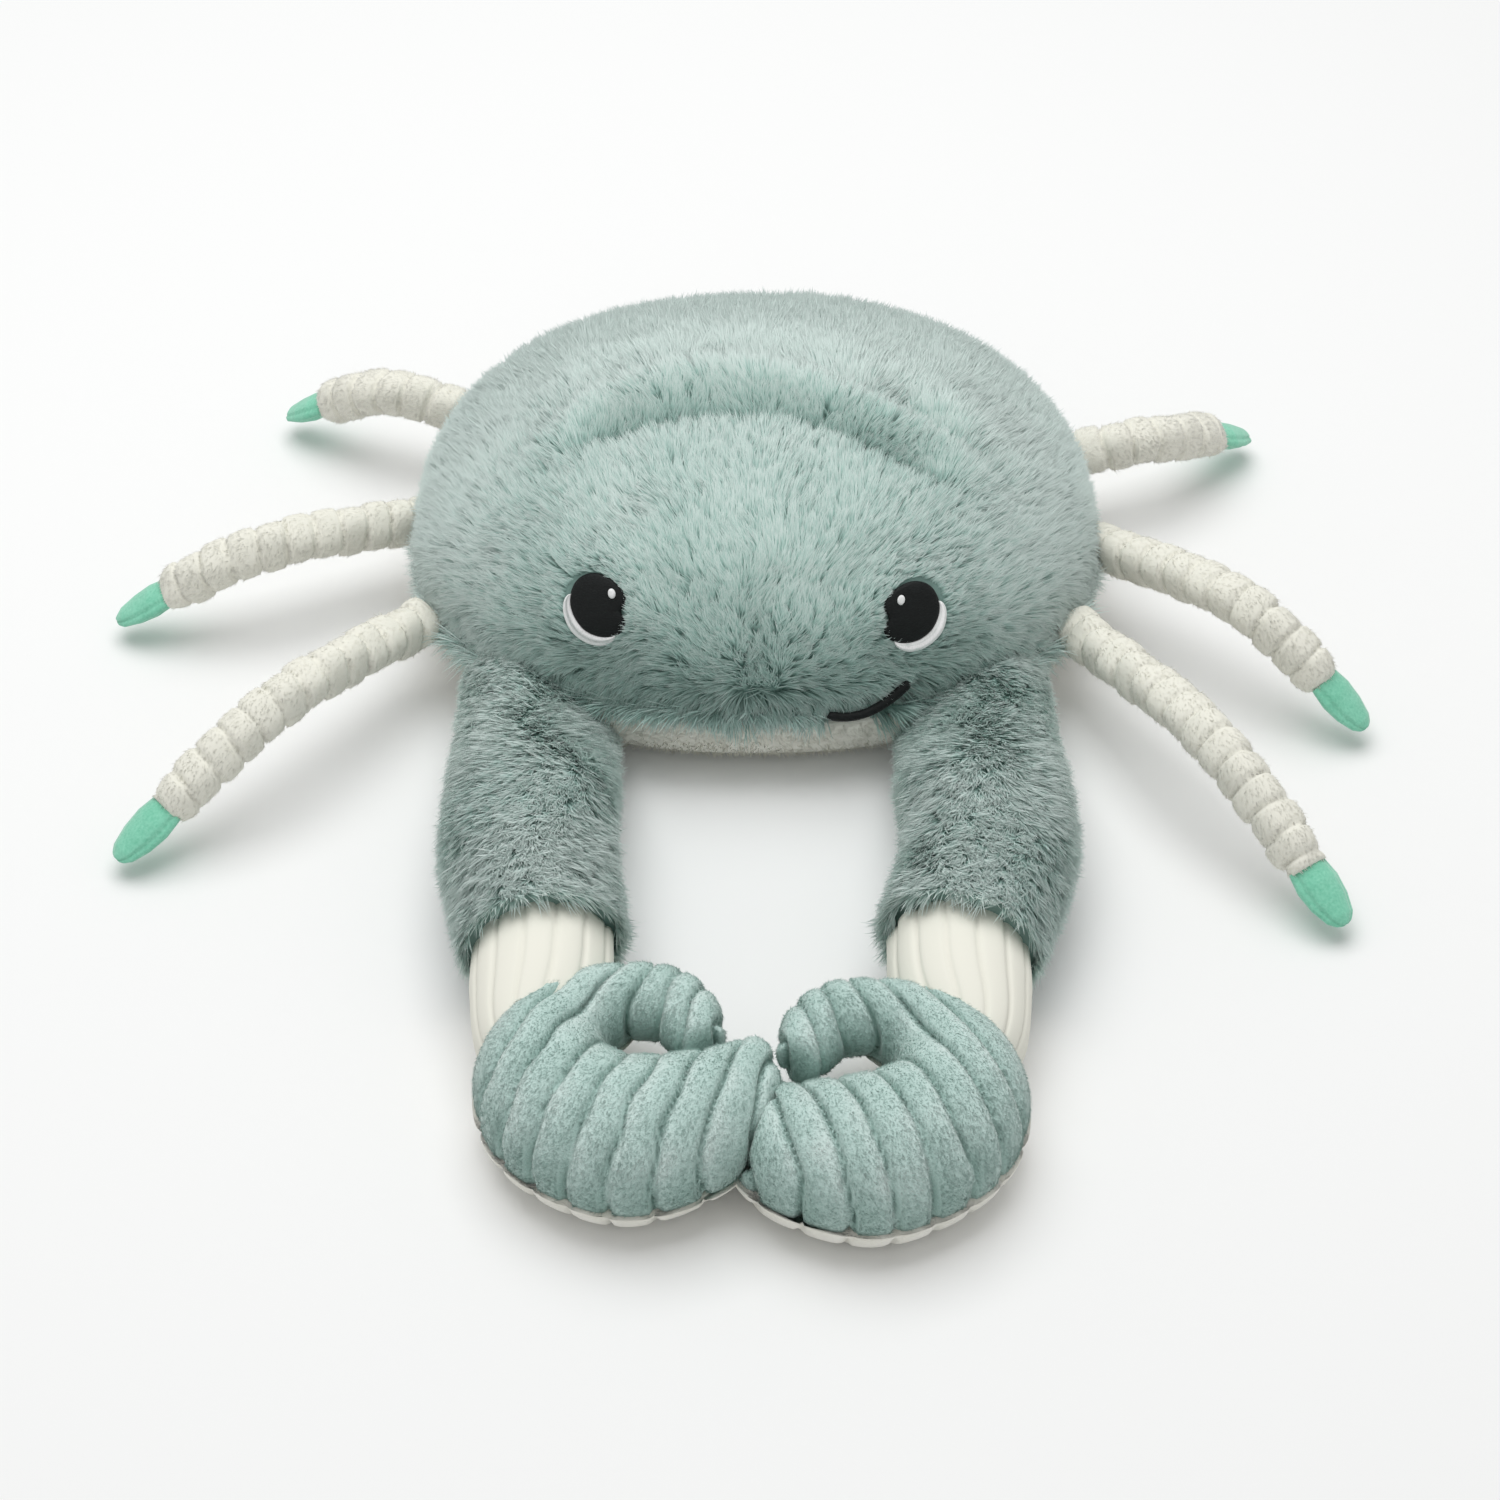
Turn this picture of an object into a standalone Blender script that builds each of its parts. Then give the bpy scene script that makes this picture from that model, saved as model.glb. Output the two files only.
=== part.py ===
"""Plush crab that lies on its belly, with two long arms reaching forward.

Metres, +Z up. The crab faces -Y, and "left" is the -X side, the viewer's left when the crab is
seen from the front. The origin is the middle of the flat patch under the belly.
"""

import math

import bmesh
import bpy
import numpy as np
from mathutils import Matrix, Vector
from mathutils.bvhtree import BVHTree

# Clearance that touching pieces keep, and how deep a piece reaches into the one that holds it
GAP = 0.0003
OVERREACH = 0.02

# Body: a fur dome over a cream belly panel, sewn together along a level seam
BODY_WIDTH = 0.244
BODY_SHIFT = 0.002
BODY_FRONT = 0.097
BODY_REAR = 0.0985
BODY_HEIGHT = 0.106
SEAM_HEIGHT = 0.024
OUTLINE_POWER = 2.28
DOME_FULLNESS = 0.79
BODY_COLUMNS = 14
BODY_ROWS = 10

# Fold across the back, just behind the forehead
FOLD_Y = -0.010
FOLD_SWEEP = 0.011
FOLD_HALF_LENGTH = 0.078
FOLD_RISE = 0.006
FOLD_DIP = 0.010
FOLD_ROWS = (-0.14, -0.085, -0.04)
FOLD_WIDTH = 0.011

# Seam down the middle of the face
FACE_SEAM_DEPTH = 0.003
FACE_SEAM_WIDTH = 0.007

# Belly panel
BELLY_FLAT_SHARE = 0.76
BELLY_FLAT_RINGS = 0.5
BELLY_COLUMNS = 8
BELLY_ROWS = 6

# Arms: a fur sleeve, a ribbed cuff and a ribbed claw
ARM_ROOT_X = 0.068
ARM_BOW_X = {"left": 0.072, "right": 0.076}
ARM_BOW_LENGTH = 0.032
ARM_END_X = 0.064
SLEEVE_END_Y = -0.203
SLEEVE_WIDTH = 0.058
SLEEVE_RIM_WIDTH = 0.054
SLEEVE_HEIGHT = 0.050
SLEEVE_ROOT_WIDTH = 0.054
SLEEVE_ROOT_HEIGHT = 0.034
SLEEVE_LIFT = 0.0008
SLEEVE_SIDES = 10
RIM_TRIM = 0.004
POCKET_DEPTH = 0.010
POCKET_PLAY = 0.0012
CUFF_WIDTH = 0.044
CUFF_HEIGHT = 0.042
CUFF_WALES = 14
CUFF_WALE_DEPTH = 0.0011
CUFF_STATIONS = (
    (-POCKET_DEPTH + GAP, 0.0, 1.0, 1.0),
    (0.014, 0.0, 1.0, 1.0),
    (0.032, 0.0020, 0.80, 0.92),
    (0.047, 0.0010, 0.42, 0.75),
)

# Claw: stations from the small finger's tip round the palm to the big finger's tip. Each holds
# the outer edge's x and y, the inner edge's x and y, the height of the middle, half the
# thickness, and how much of the tip's lift it takes
CLAW_Y = -0.222
CLAW_STATIONS = (
    (0.0550, -0.0135, 0.0505, -0.0180, 0.0260, 0.0045, 0.0),
    (0.0440, 0.0048, 0.0390, -0.0112, 0.0262, 0.0085, 0.0),
    (0.0235, 0.0080, 0.0265, -0.0120, 0.0258, 0.0105, 0.0),
    (0.0010, 0.0030, 0.0215, -0.0140, 0.0225, 0.0165, 0.0),
    (-0.0178, -0.0240, 0.0208, -0.0185, 0.0205, 0.0220, 0.0),
    (-0.0082, -0.0570, 0.0250, -0.0240, 0.0205, 0.0225, 0.0),
    (0.0260, -0.0765, 0.0330, -0.0262, 0.0205, 0.0225, 0.1),
    (0.0600, -0.0650, 0.0430, -0.0268, 0.0205, 0.0188, 0.5),
    (0.0722, -0.0420, 0.0540, -0.0270, 0.0205, 0.0125, 0.9),
    (0.0700, -0.0270, 0.0600, -0.0240, 0.0205, 0.0080, 1.0),
)
CLAW_RINGS = 14
CLAW_SIDES = 8
CLAW_SEAM_HEIGHT = 0.0115
UNDERSIDE_OVERHANG = 0.0015
CLAW_SHIFT = {"left": (0.0, 0.0), "right": (0.0005, -0.0065)}
TIP_LIFT = {"left": 0.0075, "right": -0.0040}
WALE_PITCH = 0.0100
WALE_GROOVE = 0.0013
WALE_CREST = 0.0006
WALE_SHOULDER = 0.30
GROOVE_WIDTH = 0.14
FAN_PIVOT = (0.1090, 0.1490)
FAN_RADIUS = 0.190

# Legs: ribbed tubes that arch from the seam to the floor, each with a flat felt tip
LEG_RADIUS = 0.0078
LEG_PITCH = 0.0095
LEG_GROOVE = 0.0013
LEG_SIDES = 7
TIP_LENGTH = 0.023
TIP_WIDTH = 0.0140
TIP_THICKNESS = 0.0090
TIP_BEND = 0.1
TIP_SHAPE = (
    (0.0, 0.76, 0.88),
    (0.05, 0.80, 0.92),
    (0.3, 1.00, 1.00),
    (0.6, 0.90, 0.85),
    (0.87, 0.60, 0.60),
    (1.0, 0.22, 0.30),
)
LEG_PATHS = {
    "left_front": ((-0.115, -0.048, 0.028), (-0.155, -0.098, 0.037), (-0.206, -0.141, 0.007)),
    "left_mid": ((-0.119, 0.012, 0.027), (-0.172, -0.013, 0.033), (-0.223, -0.020, 0.007)),
    "left_rear": ((-0.097, 0.070, 0.028), (-0.134, 0.082, 0.032), (-0.175, 0.102, 0.007)),
    "right_front": ((0.113, -0.052, 0.028), (0.152, -0.118, 0.036), (0.190, -0.172, 0.007)),
    "right_mid": ((0.119, -0.002, 0.028), (0.168, -0.048, 0.037), (0.210, -0.078, 0.007)),
    "right_rear": ((0.108, 0.046, 0.028), (0.148, 0.056, 0.030), (0.186, 0.089, 0.007)),
}

# Face embroidery, placed on the body's front by its X and Z
EYE_X = {"left": -0.0488, "right": 0.0520}
EYE_Z = {"left": 0.0635, "right": 0.0620}
EYE_WIDTH = 0.0184
EYE_HEIGHT = 0.0190
EYE_BITE = 0.36
EYE_RINGS = (1.0, 0.7, 0.35)
EYE_WHITE_WIDTH = 0.0028
GLINT_WIDTH = 0.0028
GLINT_HEIGHT = 0.0026
GLINT_SHIFT = {"left": 0.0042, "right": -0.0032}
GLINT_RISE = 0.0055
THREAD_THICKNESS = 0.0010
THREAD_LIFT = 0.0005
MOUTH_START = (0.0260, 0.0290)
MOUTH_END = (0.0520, 0.0385)
MOUTH_SAG = 0.0040
MOUTH_RADIUS = 0.0011

SIDES = {"left": -1, "right": 1}
COLOURS = {
    "fur": (0.330, 0.440, 0.410, 1, 0.95),
    "cream_plush": (0.830, 0.820, 0.750, 1, 0.95),
    "cream_corduroy": (0.840, 0.830, 0.740, 1, 0.90),
    "teal_corduroy": (0.250, 0.410, 0.375, 1, 0.85),
    "mint_felt": (0.165, 0.545, 0.385, 1, 0.90),
    "black_thread": (0.004, 0.005, 0.005, 1, 0.55),
    "white_thread": (0.870, 0.870, 0.870, 1, 0.55),
}


def clear_scene():
    for ob in list(bpy.data.objects):
        bpy.data.objects.remove(ob, do_unlink=True)


def new_collection(name):
    collection = bpy.data.collections.new(name)
    bpy.context.scene.collection.children.link(collection)
    return collection


def make_material(name, colour):
    *base, roughness = colour
    material = bpy.data.materials.new(name)
    material.use_nodes = True
    shader = material.node_tree.nodes["Principled BSDF"]
    shader.inputs["Base Color"].default_value = base
    shader.inputs["Roughness"].default_value = roughness
    shader.inputs["Metallic"].default_value = 0.0
    return material


def add_object(name, bm, collection, material=None):
    """Turns a bmesh into a smooth-shaded object in the collection."""
    bmesh.ops.recalc_face_normals(bm, faces=bm.faces)
    mesh = bpy.data.meshes.new(name)
    bm.to_mesh(mesh)
    bm.free()
    ob = bpy.data.objects.new(name, mesh)
    collection.objects.link(ob)
    if material:
        mesh.materials.append(material)
    mesh.shade_smooth()
    return ob


def subdivide(ob, levels):
    modifier = ob.modifiers.new("subdivision", "SUBSURF")
    modifier.levels = levels
    modifier.render_levels = levels


def evaluated_bmesh(ob):
    """A bmesh of the object as its modifiers leave it."""
    graph = bpy.context.evaluated_depsgraph_get()
    mesh = bpy.data.meshes.new_from_object(ob.evaluated_get(graph))
    bm = bmesh.new()
    bm.from_mesh(mesh)
    bpy.data.meshes.remove(mesh)
    return bm


def make_cutter(source, collection, swell=GAP):
    """A copy of an object, swollen along its normals, that other pieces are cut with."""
    bm = evaluated_bmesh(source)
    bmesh.ops.triangulate(bm, faces=bm.faces)
    bm.normal_update()
    for vert, normal in [(v, v.normal.copy()) for v in bm.verts]:
        vert.co += normal * swell
    cutter = add_object(source.name + "_cutter", bm, collection)
    cutter.hide_render = True
    cutter.display_type = "WIRE"
    return cutter


def combine(ob, other, operation):
    modifier = ob.modifiers.new(operation.lower() + "_" + other.name, "BOOLEAN")
    modifier.operation = operation
    modifier.solver = "EXACT"
    modifier.object = other


def smooth_path(points, count):
    """Evenly spaced points on a Catmull-Rom curve through the given rows of numbers."""
    rows = np.array(points, float)
    padded = np.vstack([2 * rows[0] - rows[1], rows, 2 * rows[-1] - rows[-2]])
    fine = []
    for a, b, c, d in zip(padded, padded[1:], padded[2:], padded[3:]):
        for t in np.linspace(0, 1, 24, endpoint=False):
            curve = 2 * b + (c - a) * t + (2 * a - 5 * b + 4 * c - d) * t**2
            fine.append((curve + (3 * b - a - 3 * c + d) * t**3) / 2)
    fine.append(rows[-1])
    fine = np.array(fine)
    steps = np.linalg.norm(np.diff(fine[:, :3], axis=0), axis=1)
    travelled = np.concatenate([[0], np.cumsum(steps)])
    wanted = np.linspace(0, travelled[-1], count)
    return np.stack([np.interp(wanted, travelled, column) for column in fine.T], axis=1)


def path_length(points):
    return float(np.linalg.norm(np.diff(np.array(points)[:, :3], axis=0), axis=1).sum())


def cage_scale(sides):
    """How much wider a cage's ring is than the round form that one subdivision makes of it."""
    return 4 / (3 + math.cos(2 * math.pi / sides))


def tube(stations, sides, profile=None, scale=1.0, across=None):
    """A closed bmesh through oval rings. A station is x, y, z, half width, half height.

    Rings stand square to the path, or along the given level directions.
    """
    bm = bmesh.new()
    rings = []
    stations = np.array(stations, float)
    tangents = np.gradient(stations[:, :3], axis=0)
    for number, (station, tangent) in enumerate(zip(stations, tangents)):
        forward = Vector(tangent).normalized()
        sideways = forward.cross(Vector((0, 0, 1))).normalized()
        upward = sideways.cross(forward)
        if across is not None:
            sideways = Vector(across[number])
            upward = Vector((0, 0, 1))
        ring = []
        for i in range(sides):
            angle = 2 * math.pi * i / sides
            swell = profile(i) if profile else 0.0
            offset = sideways * math.cos(angle) * (station[3] * scale + swell)
            offset += upward * math.sin(angle) * (station[4] * scale + swell)
            ring.append(bm.verts.new(Vector(station[:3]) + offset))
        rings.append(ring)
    for low, high in zip(rings, rings[1:]):
        for i in range(sides):
            j = (i + 1) % sides
            bm.faces.new((low[i], low[j], high[j], high[i]))
    bm.faces.new(rings[0])
    bm.faces.new(rings[-1])
    return bm


def outline_radius(angle):
    """Distance from the middle of the body to its seam, in that direction in plan."""
    depth = BODY_REAR if math.sin(angle) > 0 else BODY_FRONT
    across = abs(math.cos(angle) / (BODY_WIDTH / 2)) ** OUTLINE_POWER
    along = abs(math.sin(angle) / depth) ** OUTLINE_POWER
    return (across + along) ** (-1 / OUTLINE_POWER)


def square_to_disc(u, v):
    """Spreads a square grid evenly over a disc, and returns the radius and direction."""
    x = u * math.sqrt(1 - v * v / 2)
    y = v * math.sqrt(1 - u * u / 2)
    return min(1.0, math.hypot(x, y)), math.atan2(y, x)


def bell(distance, width):
    return math.exp(-((distance / width) ** 2))


def dome_point(u, v):
    """A point of the fur dome, with the fold across its back and the seam down its face."""
    radius, angle = square_to_disc(u, v)
    reach = outline_radius(angle) * math.sin(radius * math.pi / 2)
    x = reach * math.cos(angle)
    y = reach * math.sin(angle)
    rise = math.cos(radius * math.pi / 2) if radius < 1 else 0.0
    z = SEAM_HEIGHT + (BODY_HEIGHT - SEAM_HEIGHT) * rise**DOME_FULLNESS
    fold_line = FOLD_Y - FOLD_SWEEP * (x / FOLD_HALF_LENGTH) ** 2
    strength = bell(x, FOLD_HALF_LENGTH) * min(1.0, 3 * rise)
    z += FOLD_RISE * strength * bell(y - fold_line - FOLD_WIDTH / 2, FOLD_WIDTH)
    z -= FOLD_DIP * strength * bell(y - fold_line + FOLD_WIDTH, FOLD_WIDTH)
    if y < 0:
        face = bell(x, FACE_SEAM_WIDTH) * math.sin(math.pi * min(1.0, radius))
        y += FACE_SEAM_DEPTH * face
    return Vector((x + BODY_SHIFT, y, z))


def belly_point(u, v):
    """A point of the belly panel, flat underneath and rounded up to the seam."""
    radius, angle = square_to_disc(u, v)
    flat = min(1.0, radius / BELLY_FLAT_RINGS)
    turn = max(0.0, (radius - BELLY_FLAT_RINGS) / (1 - BELLY_FLAT_RINGS)) * math.pi / 2
    share = BELLY_FLAT_SHARE * flat + (1 - BELLY_FLAT_SHARE) * math.sin(turn)
    reach = outline_radius(angle) * share
    z = (SEAM_HEIGHT - GAP) * (1 - math.cos(turn))
    return Vector((reach * math.cos(angle) + BODY_SHIFT, reach * math.sin(angle), z))


def grid_solid(point, columns, rows, extra_rows=()):
    """Bends a flat grid by a function of its own coordinates and closes it with one flat face."""
    bm = bmesh.new()
    bmesh.ops.create_grid(bm, x_segments=columns, y_segments=rows, size=1.0)
    for v in extra_rows:
        geometry = bm.verts[:] + bm.edges[:] + bm.faces[:]
        bmesh.ops.bisect_plane(bm, geom=geometry, dist=1e-6, plane_co=(0, v, 0), plane_no=(0, 1, 0))
    for vert in bm.verts:
        vert.co = point(vert.co.x, vert.co.y)
    crease = bm.edges.layers.float.new("crease_edge")
    rim = [edge for edge in bm.edges if edge.is_boundary]
    bmesh.ops.contextual_create(bm, geom=rim)
    for edge in rim:
        edge[crease] = 1.0
    return bm


def make_body(parts, materials):
    bm = grid_solid(dome_point, BODY_COLUMNS, BODY_ROWS, FOLD_ROWS)
    ob = add_object("body", bm, parts, materials["fur"])
    subdivide(ob, 1)
    return ob


def make_belly(parts, materials):
    bm = grid_solid(belly_point, BELLY_COLUMNS, BELLY_ROWS)
    ob = add_object("belly_panel", bm, parts, materials["cream_plush"])
    subdivide(ob, 1)
    return ob


def cuff_base(side):
    """Where the cuff's axis leaves the sleeve's rim."""
    x = SIDES[side] * (ARM_END_X + CLAW_SHIFT[side][0])
    return Vector((x, SLEEVE_END_Y, CUFF_HEIGHT / 2))


def make_sleeve(side, trunk, parts, cutters, materials):
    """Fur sleeve: bows outward, and its open rim takes the cuff in a pocket."""
    sign = SIDES[side]
    centre_z = SLEEVE_LIFT + SLEEVE_HEIGHT / 2
    half_height = SLEEVE_HEIGHT / 2
    root_y = -BODY_FRONT + OVERREACH
    end_x = cuff_base(side).x
    bow_x = sign * ARM_BOW_X[side]
    middle_y = (root_y + SLEEVE_END_Y) / 2
    root_z = SLEEVE_LIFT + SLEEVE_ROOT_HEIGHT / 2
    keys = [
        (sign * ARM_ROOT_X, root_y, root_z, SLEEVE_ROOT_WIDTH / 2, SLEEVE_ROOT_HEIGHT / 2),
        (bow_x, middle_y + ARM_BOW_LENGTH / 2, centre_z, SLEEVE_WIDTH / 2, half_height),
        (bow_x, middle_y - ARM_BOW_LENGTH / 2, centre_z, SLEEVE_WIDTH / 2, half_height),
        (end_x, SLEEVE_END_Y, centre_z, SLEEVE_RIM_WIDTH / 2, half_height),
    ]
    bm = tube(smooth_path(keys, 5), SLEEVE_SIDES, scale=cage_scale(SLEEVE_SIDES))
    ob = add_object("sleeve_" + side, bm, parts, materials["fur"])
    subdivide(ob, 1)
    cut_rim(ob, side, cutters)
    combine(ob, trunk, "DIFFERENCE")
    return ob


def cut_rim(sleeve, side, cutters):
    """Cuts the sleeve's rim square and sinks the pocket that the cuff sits in."""
    base = cuff_base(side)
    bm = bmesh.new()
    bmesh.ops.create_cube(bm, size=1.0)
    block = 2 * SLEEVE_WIDTH
    move = Matrix.Translation((base.x, base.y - block / 2 + RIM_TRIM, base.z))
    bmesh.ops.transform(bm, matrix=move @ Matrix.Diagonal((block, block, block, 1)), verts=bm.verts)
    trim = add_object("rim_trim_" + side, bm, cutters)
    half_width = CUFF_WIDTH / 2 + POCKET_PLAY
    half_height = CUFF_HEIGHT / 2 + POCKET_PLAY
    stations = [
        (base.x, base.y + POCKET_DEPTH, base.z + POCKET_PLAY, half_width, half_height),
        (base.x, base.y - OVERREACH, base.z + POCKET_PLAY, half_width, half_height),
    ]
    pocket = add_object("cuff_pocket_" + side, tube(stations, 24), cutters)
    for cutter in (trim, pocket):
        cutter.hide_render = True
        cutter.display_type = "WIRE"
        combine(sleeve, cutter, "DIFFERENCE")


def claw_frame(side):
    """Mirrors and moves plan positions from the claw's own frame to the crab's."""
    shift_x, shift_y = CLAW_SHIFT[side]
    sign = SIDES[side]
    return lambda x, y: Vector((sign * (ARM_END_X + shift_x - x), CLAW_Y + shift_y + y, 0))


def claw_form(name, side, grow, cutters):
    """The stuffed claw as one smooth curl without wales, wider all round by some growth."""
    place = claw_frame(side)
    stations = []
    across = []
    for outer_x, outer_y, inner_x, inner_y, z, half, lift in smooth_path(CLAW_STATIONS, CLAW_RINGS):
        outer = place(outer_x, outer_y)
        inner = place(inner_x, inner_y)
        middle = (outer + inner) / 2
        half_width = (outer - inner).length / 2 + grow
        stations.append((middle.x, middle.y, z + TIP_LIFT[side] * lift, half_width, half))
        across.append((outer - inner).normalized())
    bm = tube(stations, CLAW_SIDES, scale=cage_scale(CLAW_SIDES), across=across)
    form = add_object(name, bm, cutters)
    subdivide(form, 1)
    form.hide_render = True
    form.display_type = "WIRE"
    return form


def keep_between(bm, low, high):
    """Cuts a closed bmesh level at two heights and closes it again."""
    for height, normal in ((low, (0, 0, -1)), (high, (0, 0, 1))):
        if height is None:
            continue
        geometry = bm.verts[:] + bm.edges[:] + bm.faces[:]
        cut = bmesh.ops.bisect_plane(
            bm, geom=geometry, dist=1e-6, plane_co=(0, 0, height), plane_no=normal, clear_outer=True
        )
        edges = [item for item in cut["geom_cut"] if isinstance(item, bmesh.types.BMEdge)]
        bmesh.ops.holes_fill(bm, edges=edges)


def wale_position(side, point):
    """How far across the fan of wales a point lies, counted in wales."""
    place = claw_frame(side)
    pivot = place(*FAN_PIVOT)
    angle = math.atan2(SIDES[side] * (point.x - pivot.x), pivot.y - point.y)
    return angle * FAN_RADIUS / WALE_PITCH


def wale_height(position):
    """Height of the corduroy over its backing: rounded wales with narrow grooves between."""
    from_groove = abs(position - round(position))
    return WALE_CREST - (WALE_CREST + WALE_GROOVE) * bell(from_groove, GROOVE_WIDTH)


def add_wales(bm, side, offsets, flat_heights):
    """Cuts edges at the given places across each wale, then raises the wales between grooves."""
    pivot = claw_frame(side)(*FAN_PIVOT)
    reach = [wale_position(side, vert.co) for vert in bm.verts]
    for wale in range(math.floor(min(reach)), math.ceil(max(reach)) + 1):
        for offset in offsets:
            angle = (wale + offset) * WALE_PITCH / FAN_RADIUS
            normal = Vector((-SIDES[side] * math.cos(angle), -math.sin(angle), 0))
            geometry = bm.verts[:] + bm.edges[:] + bm.faces[:]
            bmesh.ops.bisect_plane(bm, geom=geometry, dist=4e-4, plane_co=pivot, plane_no=normal)
    bm.normal_update()
    for vert, normal in [(v, v.normal.copy()) for v in bm.verts]:
        if any(abs(vert.co.z - height) < 1e-5 for height in flat_heights):
            normal.z = 0
            if normal.length < 0.3:
                continue
            normal.normalize()
        vert.co += normal * wale_height(wale_position(side, vert.co))
        vert.co.z = max(vert.co.z, min(flat_heights))


def make_claw(side, neighbour, parts, cutters, materials):
    """Teal top of the claw and the cream underside below its edge seam.

    The claw gives way where it presses on its neighbour. Returns its smooth form.
    """
    form = claw_form("claw_form_" + side, side, 0.0, cutters)
    bm = evaluated_bmesh(form)
    keep_between(bm, CLAW_SEAM_HEIGHT, None)
    add_wales(bm, side, (-WALE_SHOULDER, 0.0, WALE_SHOULDER), (CLAW_SEAM_HEIGHT,))
    top = add_object("claw_" + side, bm, parts, materials["teal_corduroy"])

    lower = claw_form("underside_form_" + side, side, UNDERSIDE_OVERHANG, cutters)
    bm = evaluated_bmesh(lower)
    keep_between(bm, 0.0, CLAW_SEAM_HEIGHT - GAP)
    add_wales(bm, side, (0.0, 0.5), (0.0, CLAW_SEAM_HEIGHT - GAP))
    underside = add_object("claw_underside_" + side, bm, parts, materials["cream_corduroy"])
    if neighbour:
        for ob in (top, underside):
            combine(ob, neighbour, "DIFFERENCE")
    return form


def make_cuff(side, claw_cutter, parts, materials):
    """Cream ribbed cuff, whose end runs on along the claw's outer side."""
    base = cuff_base(side)
    half_width = CUFF_WIDTH / 2
    half_height = CUFF_HEIGHT / 2
    keys = []
    for forward, outward, wide, thick in CUFF_STATIONS:
        x = base.x + SIDES[side] * outward
        z = half_height * thick
        keys.append((x, base.y - forward, z, half_width * wide, half_height * thick))
    bm = tube(smooth_path(keys, 6), CUFF_WALES * 2, lambda i: -CUFF_WALE_DEPTH * (i % 2 == 0))
    ob = add_object("cuff_" + side, bm, parts, materials["cream_corduroy"])
    combine(ob, claw_cutter, "DIFFERENCE")


def make_leg(name, path, trunk, parts, materials):
    """Ribbed leg, cut to the body it is sewn to, and the felt tip on its end."""
    root, arch, end = (np.array(point) for point in path)
    inward = (root - arch) / np.linalg.norm(root - arch) * OVERREACH
    inward[2] = 0
    line = smooth_path([root + inward, root, arch, end], 60)
    tip_share = TIP_LENGTH / path_length(line)
    joint = int(round(59 * (1 - tip_share)))
    leg_line = line[: joint + 1]
    wales = max(3, round(path_length(leg_line) / LEG_PITCH))
    stations = []
    for i, point in enumerate(smooth_path(leg_line, wales * 2 + 1)):
        radius = LEG_RADIUS - (LEG_GROOVE if i % 2 == 0 else 0.0)
        stations.append((*point, radius, radius))
    leg = add_object("leg_" + name, tube(stations, LEG_SIDES), parts, materials["cream_corduroy"])
    combine(leg, trunk, "DIFFERENCE")

    last, previous = np.array(stations[-1][:3]), np.array(stations[-2][:3])
    direction = (last - previous) / np.linalg.norm(last - previous)
    start = last + direction * GAP
    half = TIP_THICKNESS / 2
    end = line[-1].copy()
    end[2] = max((half * thick - start[2] * (1 - s)) / s for s, _, thick in TIP_SHAPE[2:])
    stations = []
    for share, wide, thick in TIP_SHAPE:
        point = start + (end - start) * share
        if share < TIP_BEND:
            point = start + direction * share * TIP_LENGTH
        stations.append((*point, TIP_WIDTH / 2 * wide, half * thick))
    add_object("tip_" + name, tube(stations, 8), parts, materials["mint_felt"])


class Face:
    """The body's front, which the embroidery follows."""

    def __init__(self, body):
        self.tree = BVHTree.FromBMesh(evaluated_bmesh(body))

    def on_surface(self, x, z, lift):
        """The point on the body in front of x and z, raised along the surface's normal."""
        hit, normal, _, _ = self.tree.ray_cast(Vector((x, -1.0, z)), Vector((0, 1, 0)))
        return hit + normal * lift


def patch(face, rings, lift):
    """A closed patch of thread on the face, from outlines given outermost first."""
    bm = bmesh.new()
    layers = []
    for height in (lift, lift + THREAD_THICKNESS):
        layer = []
        for ring in rings:
            layer.append([bm.verts.new(face.on_surface(x, z, height)) for x, z in ring])
        layers.append(layer)
    count = len(rings[0])
    for layer in layers:
        for outer, inner in zip(layer, layer[1:]):
            for i in range(count):
                j = (i + 1) % count
                bm.faces.new((outer[i], outer[j], inner[j], inner[i]))
        bm.faces.new(layer[-1])
    under, over = layers[0][0], layers[1][0]
    for i in range(count):
        j = (i + 1) % count
        bm.faces.new((under[i], under[j], over[j], over[i]))
    return bm


def eye_outline(scale, count=14):
    """The black of the right eye: an oval with a round bite out of its inner side."""
    points = []
    for i in range(count):
        angle = 2 * math.pi * i / count
        bite = 1 - EYE_BITE * bell(math.remainder(angle - math.pi * 1.03, 2 * math.pi), 0.36)
        x = EYE_WIDTH / 2 * math.cos(angle) * bite
        z = EYE_HEIGHT / 2 * math.sin(angle) * bite
        points.append((x * scale, z * scale))
    return points


def crescent_outline(count=11):
    """The white of the right eye: a crescent round the black's lower outer side."""
    outer, inner = [], []
    for i in range(count):
        share = i / (count - 1)
        angle = math.radians(-118 + 128 * share)
        width = 0.0002 + EYE_WHITE_WIDTH * math.sin(math.pi * share) ** 0.7
        near = 0.0005
        far = near + width
        for ring, reach in ((inner, near), (outer, far)):
            x = (EYE_WIDTH / 2 + reach) * math.cos(angle)
            z = (EYE_HEIGHT / 2 + reach) * math.sin(angle)
            ring.append((x, z))
    return outer + inner[::-1]


def oval(width, height, count=8):
    angles = [2 * math.pi * i / count for i in range(count)]
    return [(width / 2 * math.cos(a), height / 2 * math.sin(a)) for a in angles]


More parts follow.
